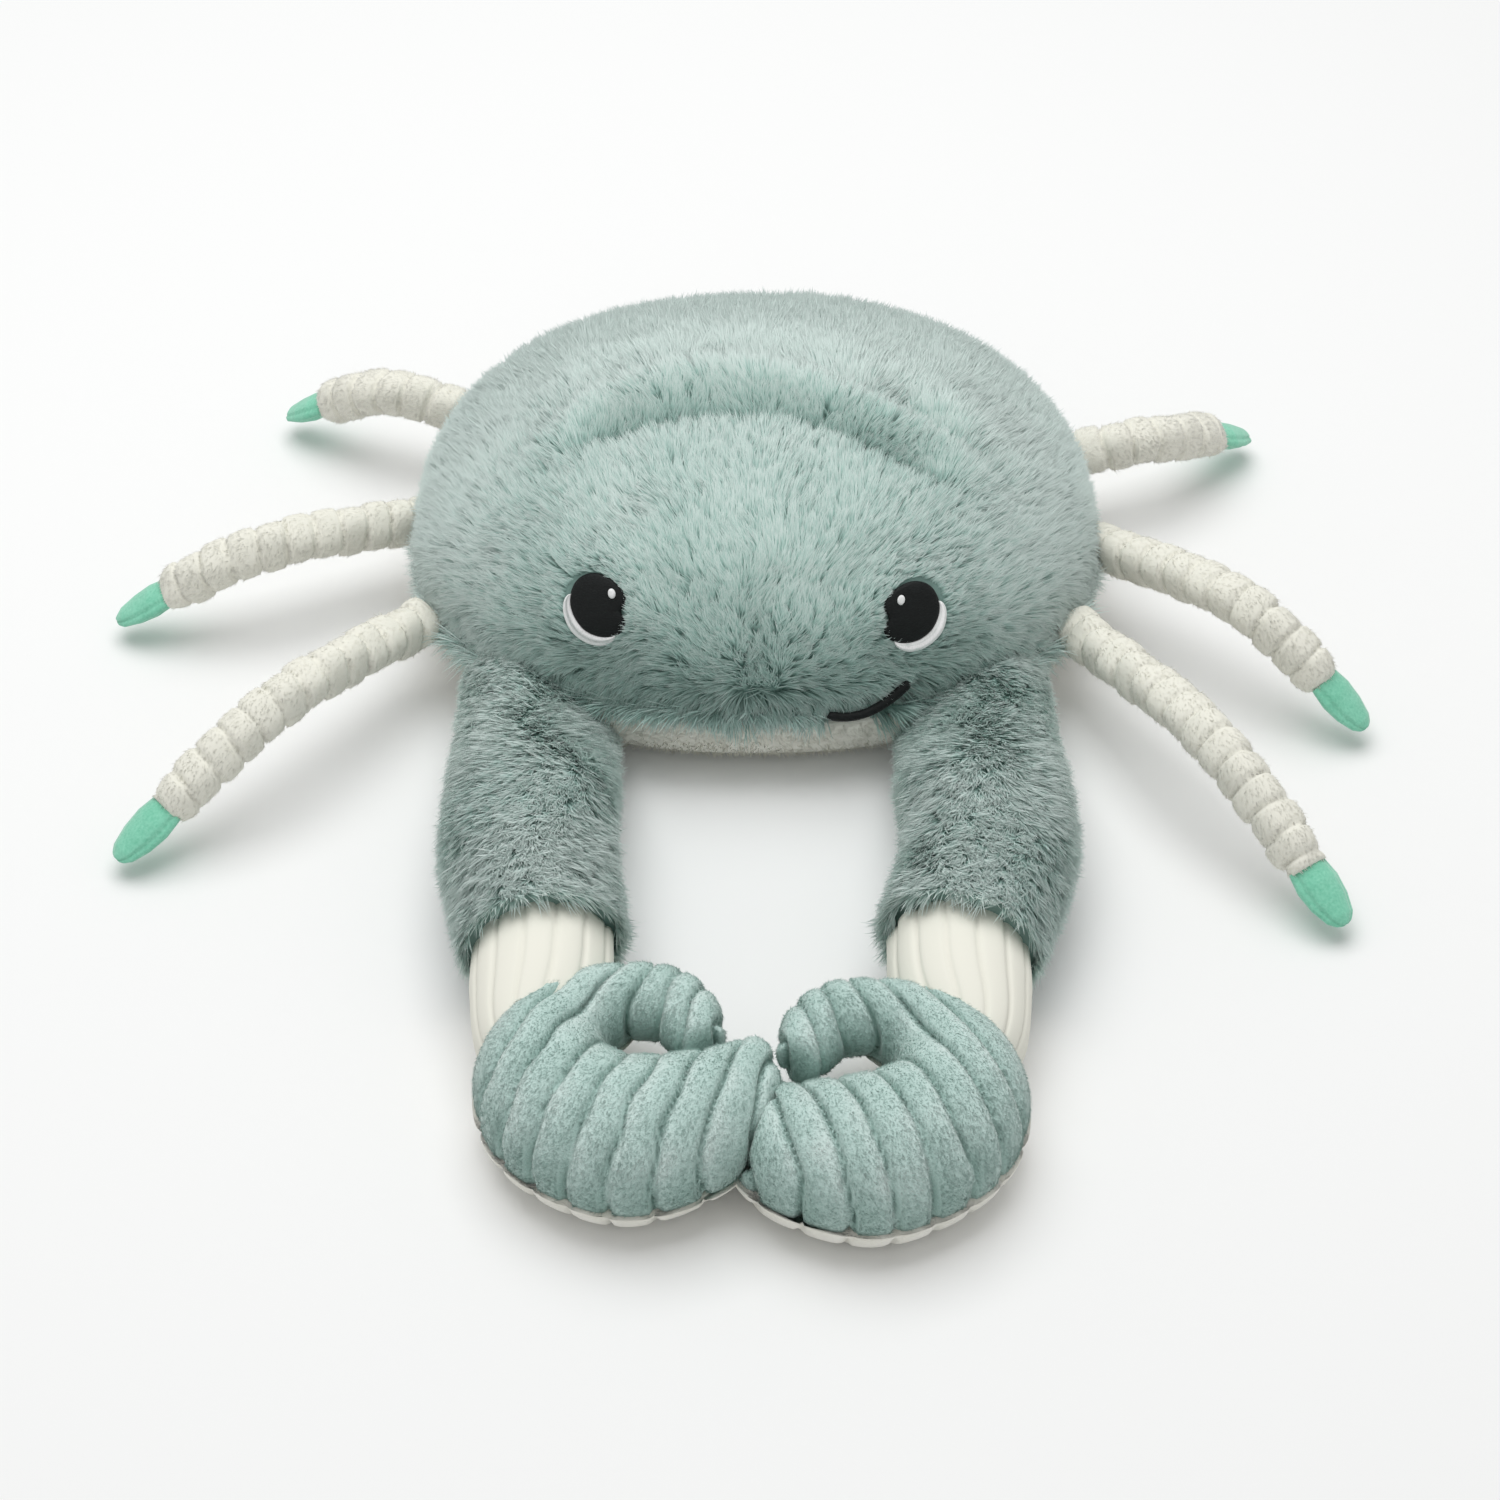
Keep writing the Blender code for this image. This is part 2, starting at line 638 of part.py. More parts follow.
def make_eye(side, face, parts, materials):
    """Black oval, white crescent on its outer side, and a small glint on the black."""
    sign = SIDES[side]

    def placed(outline, dx=0.0, dz=0.0):
        return [(EYE_X[side] + sign * (x + dx), EYE_Z[side] + z + dz) for x, z in outline]

    black = patch(face, [placed(eye_outline(s)) for s in EYE_RINGS], THREAD_LIFT)
    add_object("eye_black_" + side, black, parts, materials["black_thread"])
    white = patch(face, [placed(crescent_outline())], THREAD_LIFT)
    add_object("eye_white_" + side, white, parts, materials["white_thread"])
    spot = oval(GLINT_WIDTH, GLINT_HEIGHT)
    spot = placed(spot, sign * GLINT_SHIFT[side], GLINT_RISE)
    glint = patch(face, [spot], THREAD_LIFT + THREAD_THICKNESS + GAP)
    add_object("eye_glint_" + side, glint, parts, materials["white_thread"])


def make_mouth(face, parts, materials):
    """Half a smile, one thick line of thread."""
    curve = bpy.data.curves.new("mouth", "CURVE")
    curve.dimensions = "3D"
    curve.bevel_depth = MOUTH_RADIUS
    curve.bevel_resolution = 1
    curve.use_fill_caps = True
    spline = curve.splines.new("POLY")
    count = 9
    spline.points.add(count - 1)
    for i, point in enumerate(spline.points):
        share = i / (count - 1)
        x = MOUTH_START[0] + (MOUTH_END[0] - MOUTH_START[0]) * share
        z = MOUTH_START[1] + (MOUTH_END[1] - MOUTH_START[1]) * share**1.6
        z -= MOUTH_SAG * math.sin(math.pi * share)
        point.co = (*face.on_surface(x, z, MOUTH_RADIUS + GAP), 1)
    ob = bpy.data.objects.new("mouth", curve)
    parts.objects.link(ob)
    curve.materials.append(materials["black_thread"])
    weld = ob.modifiers.new("weld", "WELD")
    weld.merge_threshold = 0.00001
    return ob


def main():
    clear_scene()
    parts = new_collection("plush_crab")
    cutters = new_collection("cutters")
    materials = {name: make_material(name, colour) for name, colour in COLOURS.items()}

    body = make_body(parts, materials)
    belly = make_belly(parts, materials)
    trunk = make_cutter(body, cutters)
    combine(trunk, make_cutter(belly, cutters), "UNION")
    neighbour = None
    for side in SIDES:
        make_sleeve(side, trunk, parts, cutters, materials)
        form = make_claw(side, neighbour, parts, cutters, materials)
        cuff_cutter = make_cutter(form, cutters, UNDERSIDE_OVERHANG + WALE_CREST + GAP)
        make_cuff(side, cuff_cutter, parts, materials)
        neighbour = make_cutter(form, cutters, WALE_CREST + GAP)
    for name, path in LEG_PATHS.items():
        make_leg(name, path, trunk, parts, materials)
    face = Face(body)
    for side in SIDES:
        make_eye(side, face, parts, materials)
    make_mouth(face, parts, materials)


main()
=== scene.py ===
"""Looks of a plush crab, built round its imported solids. Metres, +Z up, the face looks to -Y."""

import math

import bmesh
import bpy
import numpy as np
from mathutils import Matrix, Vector, kdtree
from mathutils.bvhtree import BVHTree


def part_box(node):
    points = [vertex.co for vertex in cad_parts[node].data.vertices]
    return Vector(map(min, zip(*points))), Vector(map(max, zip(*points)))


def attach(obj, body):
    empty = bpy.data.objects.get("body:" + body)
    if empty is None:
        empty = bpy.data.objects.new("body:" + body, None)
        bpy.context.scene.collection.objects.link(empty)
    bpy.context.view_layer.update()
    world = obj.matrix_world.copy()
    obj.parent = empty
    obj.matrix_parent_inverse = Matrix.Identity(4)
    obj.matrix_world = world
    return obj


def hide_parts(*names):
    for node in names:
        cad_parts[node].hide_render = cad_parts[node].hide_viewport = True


MM = 0.001
SIDES = {"left": -1, "right": 1}

# Camera and light
CAMERA_ELEVATION = math.radians(42)
CAMERA_DISTANCE = 1.150
CAMERA_TARGET = (0.0, -0.080, 0.0)
FIELD_OF_VIEW = math.radians(25)
LAMP_PLACE = (-0.12, 0.20, 1.6)
LAMP_AIM = (0, -0.05, 0.03)
LAMP_SIZE = 1.5
LAMP_POWER = 19.2
WORLD_STRENGTH = 0.50
FLOOR_GREY = (0.82, 0.82, 0.82, 1.0)
FLOOR_SEEN = (0.91, 0.915, 0.91, 1.0)

# Stuffing: the pressure in each kind of piece, and how far a point of it may move
CLOTH_FRAMES = 20
CLOTH_STIFFNESS = 15
BODY_PRESSURE = 4.0
BODY_TRAVEL = 1.2 * MM
SLEEVE_PRESSURE = 4.0
SLEEVE_TRAVEL = 1.0 * MM
CLAW_PRESSURE = 3.0
CLAW_TRAVEL = 1.5 * MM

# Body: an upper dome over the seam, with a rolled fold behind the forehead
BODY_WIDTH = 0.244
BODY_SHIFT = 0.002
BODY_FRONT = 0.097
BODY_REAR = 0.0985
BODY_HEIGHT = 0.106
SEAM_HEIGHT = 0.024
OUTLINE_POWER = 2.28
DOME_FULLNESS = 0.79
DOME_COLUMNS = 88
DOME_ROWS = 68
BODY_INSET = 1.2 * MM
FACE_SEAM_DEPTH = 0.0025
FACE_BACK_Y = -0.03
BELLY_FLAT = 0.78
BELLY_SIDES = 160
BELLY_FUZZ = 60000
FOLD_MIDDLE = 0.002
FOLD_WIDTH = 0.0065
FOLD_HALF_LENGTH = 0.070
GROOVE_MIDDLE = 0.005
GROOVE_HALF_LENGTH = 0.058
FOLD_RISE = 0.0062
FOLD_VALLEY = 0.0030
FOLD_DROP = 0.0085
FOLD_CREST = (
    (-90, -46), (-64, -28), (-52, -19), (-32, -12), (-11, -9), (12, -13), (27, -20), (49, -30), (71, -38),
    (95, -50),
)
FOLD_BAND = ((-64, 9), (-50, 11), (-11, 13), (34, 9), (70, 8))
SIDE_CREASE = (0.063, -0.018)
SIDE_CREASE_TURN = (0.83, 0.56)
SIDE_CREASE_DEPTH = 0.0065

# Sleeves: root, bow and rim
ARM_ROOT_X = {"left": 0.070, "right": 0.074}
ARM_BOW_X = {"left": 0.0700, "right": 0.0752}
SLEEVE_WIDTH = 0.060
SLEEVE_HEIGHT = 0.050
SLEEVE_INSET = 0.8 * MM
SLEEVE_RINGS = 44
SLEEVE_SIDES = 40

# Fur: the backing lies under the outer surface, and the pile stands on it
SKIN_DEPTH = 3.8 * MM
SLEEVE_SKIN_DEPTH = 3.6 * MM
FUR_LENGTH = 8.0 * MM
FUR_WIDTH = 0.78 * MM
BODY_BLADES = 350000
SLEEVE_BLADES = 76000
BLADES_IN_TUFT = 18
SPARE_PLACES = 1.35
EYE_PARTING = 0.2 * MM
EYE_PARTING_INNER = -0.5 * MM
MOUTH_PARTING = 2.1 * MM
PILE_BY_EYE = 0.0030
PILE_BY_MOUTH = 0.0025
PILE_ROOT_DEPTH = 0.3 * MM
PILE_OFF_FLOOR = 0.2 * MM
FUR_SOURCE = (0.003, -0.103, 0.032)
WHORL = (-0.006, -0.082, 0.074)

# Claws, in the same plan as the solids. A station has the outer edge's x and y, the inner edge's
# x and y, the middle's height, half the thickness and the share of the tip's lift. They run from
# the small finger's tip to the big finger's.
ARM_END_X = 0.064
CLAW_Y = -0.222
CLAW_SHIFT = {"left": (0.0, 0.0), "right": (0.0005, -0.0065)}
TIP_LIFT = {"left": 0.0075, "right": -0.0040}
CLAW_STATIONS = (
    (0.0568, -0.0195, 0.0430, -0.0245, 0.0275, 0.0095, 0.0),
    (0.0538, -0.0055, 0.0385, -0.0170, 0.0275, 0.0112, 0.0),
    (0.0435, 0.0060, 0.0335, -0.0125, 0.0270, 0.0118, 0.0),
    (0.0255, 0.0093, 0.0272, -0.0118, 0.0260, 0.0124, 0.0),
    (0.0010, 0.0030, 0.0220, -0.0140, 0.0225, 0.0170, 0.0),
    (-0.0178, -0.0240, 0.0208, -0.0185, 0.0205, 0.0220, 0.0),
    (-0.0082, -0.0570, 0.0250, -0.0240, 0.0205, 0.0225, 0.0),
    (0.0260, -0.0765, 0.0330, -0.0262, 0.0205, 0.0225, 0.1),
    (0.0600, -0.0650, 0.0430, -0.0268, 0.0205, 0.0188, 0.5),
    (0.0722, -0.0420, 0.0540, -0.0262, 0.0205, 0.0125, 0.9),
    (0.0710, -0.0255, 0.0620, -0.0220, 0.0205, 0.0080, 1.0),
)
CLAW_SEAM_HEIGHT = 0.0115
UNDERSIDE_OVERHANG = 0.0016
UNDERSIDE_OVERLAP = 0.0025
UNDERSIDE_GROOVE = 0.0006
CLAW_GAP = 1.2 * MM
CLAW_RINGS = 44
CLAW_SIDES = 32
WALE_PITCH = 0.0100
WALE_GROOVE = 0.0016
WALE_CREST = 0.0007
FAN_PIVOT = (0.1090, 0.1490)
FAN_RADIUS = 0.190
CLAW_FUZZ = 82000
FUZZ_LENGTH = 1.3 * MM
FUZZ_WIDTH = 0.38 * MM

# Cuffs. A station is how far it lies past the sleeve's rim and outward, and shares of the cuff's
# width and height.
SLEEVE_END_Y = -0.203
CUFF_WIDTH = 0.044
CUFF_HEIGHT = 0.042
CUFF_WALES = 14
CUFF_GROOVE = 0.0009
CUFF_RINGS = 44
CUFF_SIDES = 140
CUFF_STATIONS = (
    (-0.009, 0.0, 1.0, 1.0),
    (0.014, 0.0, 1.0, 1.0),
    (0.032, 0.0020, 0.80, 0.92),
    (0.047, 0.0010, 0.42, 0.75),
)

# Legs. A path has the body's seam, the arch and the tip's end; the taper is in width and height.
LEG_RADIUS = 0.0076
LEG_PITCH = 0.0095
LEG_GROOVE = 0.0014
LEG_SLANT = 0.16
LEG_FUZZ = 9000
LEG_RINGS = 130
LEG_SIDES = 30
LEG_TAPER_START = 118
LEG_TAPER = (0.18, 0.42)
TIP_LENGTH = 0.023
TIP_WIDTH = 0.0152
TIP_THICKNESS = 0.0090
TIP_RINGS = 40
TIP_SIDES = 40
LEG_PATHS = {
    "left_front": ((-0.115, -0.048, 0.028), (-0.155, -0.098, 0.037), (-0.206, -0.141, 0.007)),
    "left_mid": ((-0.119, 0.012, 0.027), (-0.172, -0.013, 0.033), (-0.223, -0.020, 0.007)),
    "left_rear": ((-0.097, 0.070, 0.028), (-0.134, 0.082, 0.032), (-0.175, 0.102, 0.007)),
    "right_front": ((0.113, -0.052, 0.028), (0.152, -0.118, 0.036), (0.190, -0.172, 0.007)),
    "right_mid": ((0.119, -0.002, 0.028), (0.168, -0.048, 0.037), (0.210, -0.078, 0.007)),
    "right_rear": ((0.108, 0.046, 0.028), (0.148, 0.056, 0.030), (0.186, 0.089, 0.007)),
}

# Eyes, in the face's own X and Z; the right eye's shape, mirrored for the left
EYE_X = {"left": -0.0490, "right": 0.0522}
EYE_Z = {"left": 0.0629, "right": 0.0611}
EYE_WIDTH = 0.0198
EYE_HEIGHT = 0.0176
EYE_BITE = 0.30
EYE_WHITE_WIDTH = 0.0040
EYE_WHITE_ANGLES = (-122, 14)
EYE_STEPS = 72
GLINT_RADIUS = 0.0014
GLINT_SHIFT = {"left": 0.0042, "right": -0.0032}
GLINT_RISE = 0.0046
MOUTH_THICKER = 0.0006
MOUTH_RAISE = 0.0018

# Domed stitching: the share of a patch's size, and its height over the face in millimetres
EYE_BLACK_DOME = ((1.0, 0.0), (1.0, 0.6), (0.97, 1.1), (0.9, 1.45), (0.7, 1.6), (0.4, 1.7), (0.1, 1.7))
EYE_WHITE_DOME = ((1.0, 0.0), (0.97, 0.9), (0.8, 1.3), (0.4, 1.5), (0.0, 1.5))
GLINT_DOME = ((1.0, 1.5), (0.9, 2.0), (0.5, 2.2))

# Colours, as the photograph's own sRGB
# FUR_ROOT is painted shade: the pile's colour deep at the blades' roots.
FUR_ROOT = "#4d776d"
FUR_MIDDLE = "#c0dfd7"
FUR_TIP = "#eefaf6"
# TEAL_DARK and TEAL_LIGHT, and CREAM_DARK on the claws' undersides, are reached by the wales' painted
# shade and painted highlight, besides the cloth's mottling.
TEAL = "#c2dad4"
TEAL_DARK = "#93b4ab"
TEAL_LIGHT = "#e6f0ed"
CREAM = "#fbfaf2"
CREAM_DARK = "#eeede1"
MINT = "#93dcc0"
MINT_DARK = "#68bd9d"
BLACK = "#090c0c"
WHITE = "#f4f4f2"


def linear(code):
    """Linear colour of a hexadecimal sRGB code."""
    values = [int(code[i : i + 2], 16) / 255 for i in (1, 3, 5)]
    return [v / 12.92 if v <= 0.04045 else ((v + 0.055) / 1.055) ** 2.4 for v in values] + [1.0]


# Meshes, curves and waves


def read_mesh(mesh):
    """Vertices, normals and triangles of a mesh as arrays."""
    count = len(mesh.vertices)
    points = np.empty(count * 3)
    mesh.vertices.foreach_get("co", points)
    normals = np.empty(count * 3)
    mesh.vertices.foreach_get("normal", normals)
    mesh.calc_loop_triangles()
    triangles = np.empty(len(mesh.loop_triangles) * 3, int)
    mesh.loop_triangles.foreach_get("vertices", triangles)
    return points.reshape(-1, 3), normals.reshape(-1, 3), triangles.reshape(-1, 3)


def new_object(name, data):
    ob = bpy.data.objects.new(name, data)
    bpy.context.scene.collection.objects.link(ob)
    return ob


def twin(ob):
    """A copy with a mesh of its own, not yet in the scene."""
    made = ob.copy()
    made.data = ob.data.copy()
    return made


def place_vertices(ob, points):
    """Puts the object's vertices at the rows of an array."""
    ob.data.vertices.foreach_set("co", points.ravel())
    ob.data.update()


def surface_of(mesh):
    """The mesh's triangles as a tree, for finding places on them."""
    points, _, triangles = read_mesh(mesh)
    return BVHTree.FromPolygons(points.tolist(), triangles.tolist())


def rising(values, start, width):
    """0 up to the start, then up to 1 over the width."""
    return np.clip((values - start) / width, 0, 1)


def falling(values, start, width):
    """0 from the start up, and up to 1 over the width below it."""
    return np.clip((start - values) / width, 0, 1)


def bell(distance, width):
    return np.exp(-((distance / width) ** 2))


def mesh_from(name, points, faces):
    """A smooth mesh object from an array of points and a list or array of faces."""
    mesh = bpy.data.meshes.new(name)
    mesh.from_pydata(np.asarray(points).tolist(), [], np.asarray(faces).tolist())
    mesh.shade_smooth()
    return new_object(name, mesh)


def apply_modifiers(ob):
    """Replaces the object's mesh by what its modifiers make of it."""
    graph = bpy.context.evaluated_depsgraph_get()
    mesh = bpy.data.meshes.new_from_object(ob.evaluated_get(graph))
    ob.modifiers.clear()
    ob.data = mesh
    mesh.shade_smooth()


def cad_copy(name, node):
    """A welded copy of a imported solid."""
    bm = bmesh.new()
    bm.from_mesh(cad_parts[node].data)
    bmesh.ops.remove_doubles(bm, verts=bm.verts, dist=1e-6)
    mesh = bpy.data.meshes.new(name)
    bm.to_mesh(mesh)
    bm.free()
    return new_object(name, mesh)


def shift_along_normals(ob, amount):
    """Moves each vertex along its normal, by one amount or an array of them."""
    points, normals, _ = read_mesh(ob.data)
    place_vertices(ob, points + normals * np.reshape(amount, (-1, 1)))


def subdivide(ob, levels):
    modifier = ob.modifiers.new("subdivision", "SUBSURF")
    modifier.levels = levels
    modifier.render_levels = levels
    apply_modifiers(ob)


def stuff(ob, pressure, travel):
    """Blows the closed piece up as stuffed cloth, and caps how far a point may move."""
    rest, _, _ = read_mesh(ob.data)
    cloth = ob.modifiers.new("cloth", "CLOTH")
    settings = cloth.settings
    settings.effector_weights.gravity = 0.0
    settings.use_pressure = True
    settings.uniform_pressure_force = pressure
    settings.tension_stiffness = CLOTH_STIFFNESS
    settings.compression_stiffness = CLOTH_STIFFNESS
    settings.bending_stiffness = 0.5
    settings.quality = 4
    cloth.collision_settings.use_collision = False
    cloth.point_cache.frame_start = 1
    cloth.point_cache.frame_end = CLOTH_FRAMES
    for number in range(1, CLOTH_FRAMES + 1):
        bpy.context.scene.frame_set(number)
    apply_modifiers(ob)
    bpy.context.scene.frame_set(1)
    moved, _, _ = read_mesh(ob.data)
    step = moved - rest
    length = np.linalg.norm(step, axis=1, keepdims=True)
    place_vertices(ob, rest + step * np.minimum(1.0, travel / np.maximum(length, 1e-9)))


def set_attribute(mesh, name, values):
    attribute = mesh.attributes.new(name, "FLOAT", "POINT")
    attribute.data.foreach_set("value", np.asarray(values, np.float32))


def catmull(points, count):
    """Evenly spaced rows on a Catmull-Rom curve, spaced by the first three numbers of each row."""
    rows = np.array(points, float)
    padded = np.vstack([2 * rows[0] - rows[1], rows, 2 * rows[-1] - rows[-2]])
    fine = []
    for a, b, c, d in zip(padded, padded[1:], padded[2:], padded[3:]):
        for t in np.linspace(0, 1, 24, endpoint=False):
            curve = 2 * b + (c - a) * t + (2 * a - 5 * b + 4 * c - d) * t**2
            fine.append((curve + (3 * b - a - 3 * c + d) * t**3) / 2)
    fine = np.array(fine + [rows[-1]])
    steps = np.linalg.norm(np.diff(fine[:, :3], axis=0), axis=1)
    travelled = np.concatenate([[0], np.cumsum(steps)])
    wanted = np.linspace(0, travelled[-1], count)
    return np.stack([np.interp(wanted, travelled, column) for column in fine.T], axis=1)


def ring_faces(rings, sides):
    """The four-cornered faces between each ring of points and the next."""
    faces = []
    for ring in range(rings - 1):
        low, high = ring * sides, (ring + 1) * sides
        for i in range(sides):
            j = (i + 1) % sides
            faces.append((low + i, low + j, high + j, high + i))
    return faces


def closed_object(name, points, faces):
    """A smooth mesh object whose faces all look outward."""
    mesh = bpy.data.meshes.new(name)
    mesh.from_pydata(points.tolist(), [], faces)
    bm = bmesh.new()
    bm.from_mesh(mesh)
    bmesh.ops.recalc_face_normals(bm, faces=bm.faces)
    bm.to_mesh(mesh)
    bm.free()
    mesh.shade_smooth()
    return new_object(name, mesh)


def tube(name, stations, sides, swell=None, across=None):
    """A closed tube through oval rings, flat at both ends. A station is x, y, z and two half sizes.

    swell(station number, angles) gives what is added to the radius. across gives each ring's
    direction of width, where that isn't level and square to the line.
    """
    stations = np.array(stations, float)
    tangents = np.gradient(stations[:, :3], axis=0)
    angles = 2 * math.pi * np.arange(sides) / sides
    points = []
    for number, (station, tangent) in enumerate(zip(stations, tangents)):
        forward = tangent / np.linalg.norm(tangent)
        sideways = np.cross(forward, (0, 0, 1))
        sideways /= np.linalg.norm(sideways)
        upward = np.cross(sideways, forward)
        if across is not None:
            sideways, upward = across[number], np.array((0.0, 0.0, 1.0))
        added = swell(number, angles) if swell else 0.0
        wide = np.cos(angles) * (station[3] + added)
        high = np.sin(angles) * (station[4] + added)
        points.append(station[:3] + wide[:, None] * sideways + high[:, None] * upward)
    points = np.vstack([*points, stations[0][:3], stations[-1][:3]])
    faces = ring_faces(len(stations), sides)
    last = (len(stations) - 1) * sides
    for i in range(sides):
        j = (i + 1) % sides
        faces.append((len(points) - 2, j, i))
        faces.append((len(points) - 1, last + i, last + j))
    return closed_object(name, points, faces)


def waves(points, size, seed):
    """Smooth noise of about -1 to 1 over space, a sum of plane waves of about the given size."""
    rng = np.random.default_rng(seed)
    total = np.zeros(len(points))
    for _ in range(7):
        direction = rng.normal(size=3)
        direction *= 2 * math.pi / size / np.linalg.norm(direction) * rng.uniform(0.6, 1.4)
        total += np.sin(points @ direction + rng.uniform(0, 2 * math.pi))
    return total / 2.6


# Fur


def scatter(ob, count, rng):
    """Random places on an object's surface, with the normals there."""
    points, normals, triangles = read_mesh(ob.data)
    corners = points[triangles]
    crossed = np.cross(corners[:, 1] - corners[:, 0], corners[:, 2] - corners[:, 0])
    areas = np.linalg.norm(crossed, axis=1)
    chosen = rng.choice(len(triangles), size=count, p=areas / areas.sum())
    weights = rng.random((count, 2))
    weights[weights.sum(1) > 1] = 1 - weights[weights.sum(1) > 1]
    weights = np.column_stack([1 - weights.sum(1), weights])
    places = np.einsum("nk,nkd->nd", weights, points[triangles[chosen]])
    upward = np.einsum("nk,nkd->nd", weights, normals[triangles[chosen]])
    return places, upward / np.linalg.norm(upward, axis=1, keepdims=True)


def unit(vectors):
    return vectors / np.maximum(np.linalg.norm(vectors, axis=1, keepdims=True), 1e-12)


def tangential(vectors, normals):
    """The part of each vector that lies along the surface, at length one."""
    along = vectors - normals * np.sum(vectors * normals, axis=1, keepdims=True)
    return unit(along)


def tufts(places, per_tuft, rng):
    """The tuft that each blade belongs to: the nearest of some of the places."""
    centres = rng.choice(len(places), size=max(1, len(places) // per_tuft), replace=False)
    tree = kdtree.KDTree(len(centres))
    for number, centre in enumerate(centres):
        tree.insert(places[centre], number)
    tree.balance()
    nearest = np.array([tree.find(place)[1] for place in places])
    return centres[nearest], nearest


def grow(names, part, places, normals, flow, rng, length, width, gather=0.0, ruffle=0.3,
         per_tuft=BLADES_IN_TUFT, tone=0.0, calm=1.0, steep=1.0):
    """Blades of pile: slivers that lean along the flow and towards their tuft's tip.

    Blades with part number n become the piece with the nth name.
    """
    count = len(places)
    centre, tuft = tufts(places, per_tuft, rng)
    turn = (rng.normal(0, 1, count)[tuft] + rng.normal(0, 0.5, count)) * ruffle
    turn += 0.3 * waves(places, 0.03, 5)
    side = np.cross(normals, flow)
    along = flow * np.cos(turn)[:, None] + side * np.sin(turn)[:, None]
    reach = length * rng.uniform(0.8, 1.15, count)[tuft] * rng.uniform(0.75, 1.2, count)
    lift = np.clip(rng.normal(0.62, 0.14, count), 0.25, 1.0) * steep
    inward = places[centre] - places
    inward -= normals * np.sum(inward * normals, axis=1, keepdims=True)
    tip = places + unit(along + normals * lift[:, None]) * reach[:, None]
    tip += inward * np.reshape(gather, (-1, 1))
    roll = rng.uniform(-0.6, 0.6, count)[:, None]
    wide = unit(np.cross(normals, along)) * np.cos(roll) + normals * np.sin(roll)
    half = wide * (width * rng.uniform(0.7, 1.25, count) / 2)[:, None]
    root = places - normals * PILE_ROOT_DEPTH
    points = np.stack([root + half, root - half, tip], axis=1)
    points[:, :, 2] = np.maximum(points[:, :, 2], PILE_OFF_FLOOR)
    bent = unit(normals + along * 0.25 + rng.normal(0, 0.14, (count, 3)))
    # own: random tint by tuft and by blade, plus tone, which carries painted light where the caller gives
    # it.
    own = rng.normal(0, 0.6, count)[tuft] * calm + rng.normal(0, 0.5, count) + tone
    chosen = [part == number for number in range(len(names))]
    return [blade_mesh(name, points[rows], bent[rows], own[rows]) for name, rows in zip(names, chosen)]


def blade_mesh(name, points, normals, tint_and_painted_light):
    """One piece of three-cornered blades, each with a small cell of its own in the texture."""
    count = len(points)
    mesh = bpy.data.meshes.new(name)
    mesh.vertices.add(3 * count)
    mesh.vertices.foreach_set("co", points.reshape(-1))
    mesh.loops.add(3 * count)
    mesh.loops.foreach_set("vertex_index", np.arange(3 * count, dtype=np.int32))
    mesh.polygons.add(count)
    mesh.polygons.foreach_set("loop_start", np.arange(0, 3 * count, 3, dtype=np.int32))
    mesh.update()
    mesh.shade_smooth()
    set_attribute(mesh, "height", np.tile([0.0, 0.0, 1.0], count))
    # This attribute holds the random tint and any painted light given with the blades.
    set_attribute(mesh, "tint_and_painted_light", np.repeat(tint_and_painted_light, 3))
    mesh.normals_split_custom_set_from_vertices(np.repeat(normals, 3, axis=0).tolist())
    columns = math.ceil(math.sqrt(count))
    cell = np.arange(count)
    corner = np.column_stack([cell % columns, cell // columns]) / columns
    local = np.array([(0.12, 0.12), (0.88, 0.12), (0.5, 0.9)]) / columns
    layer = mesh.uv_layers.new(name="OFBake")
    places = (corner[:, None, :] + local[None]).astype(np.float32)
    layer.data.foreach_set("uv", places.reshape(-1))
    return new_object(name, mesh)


# Materials


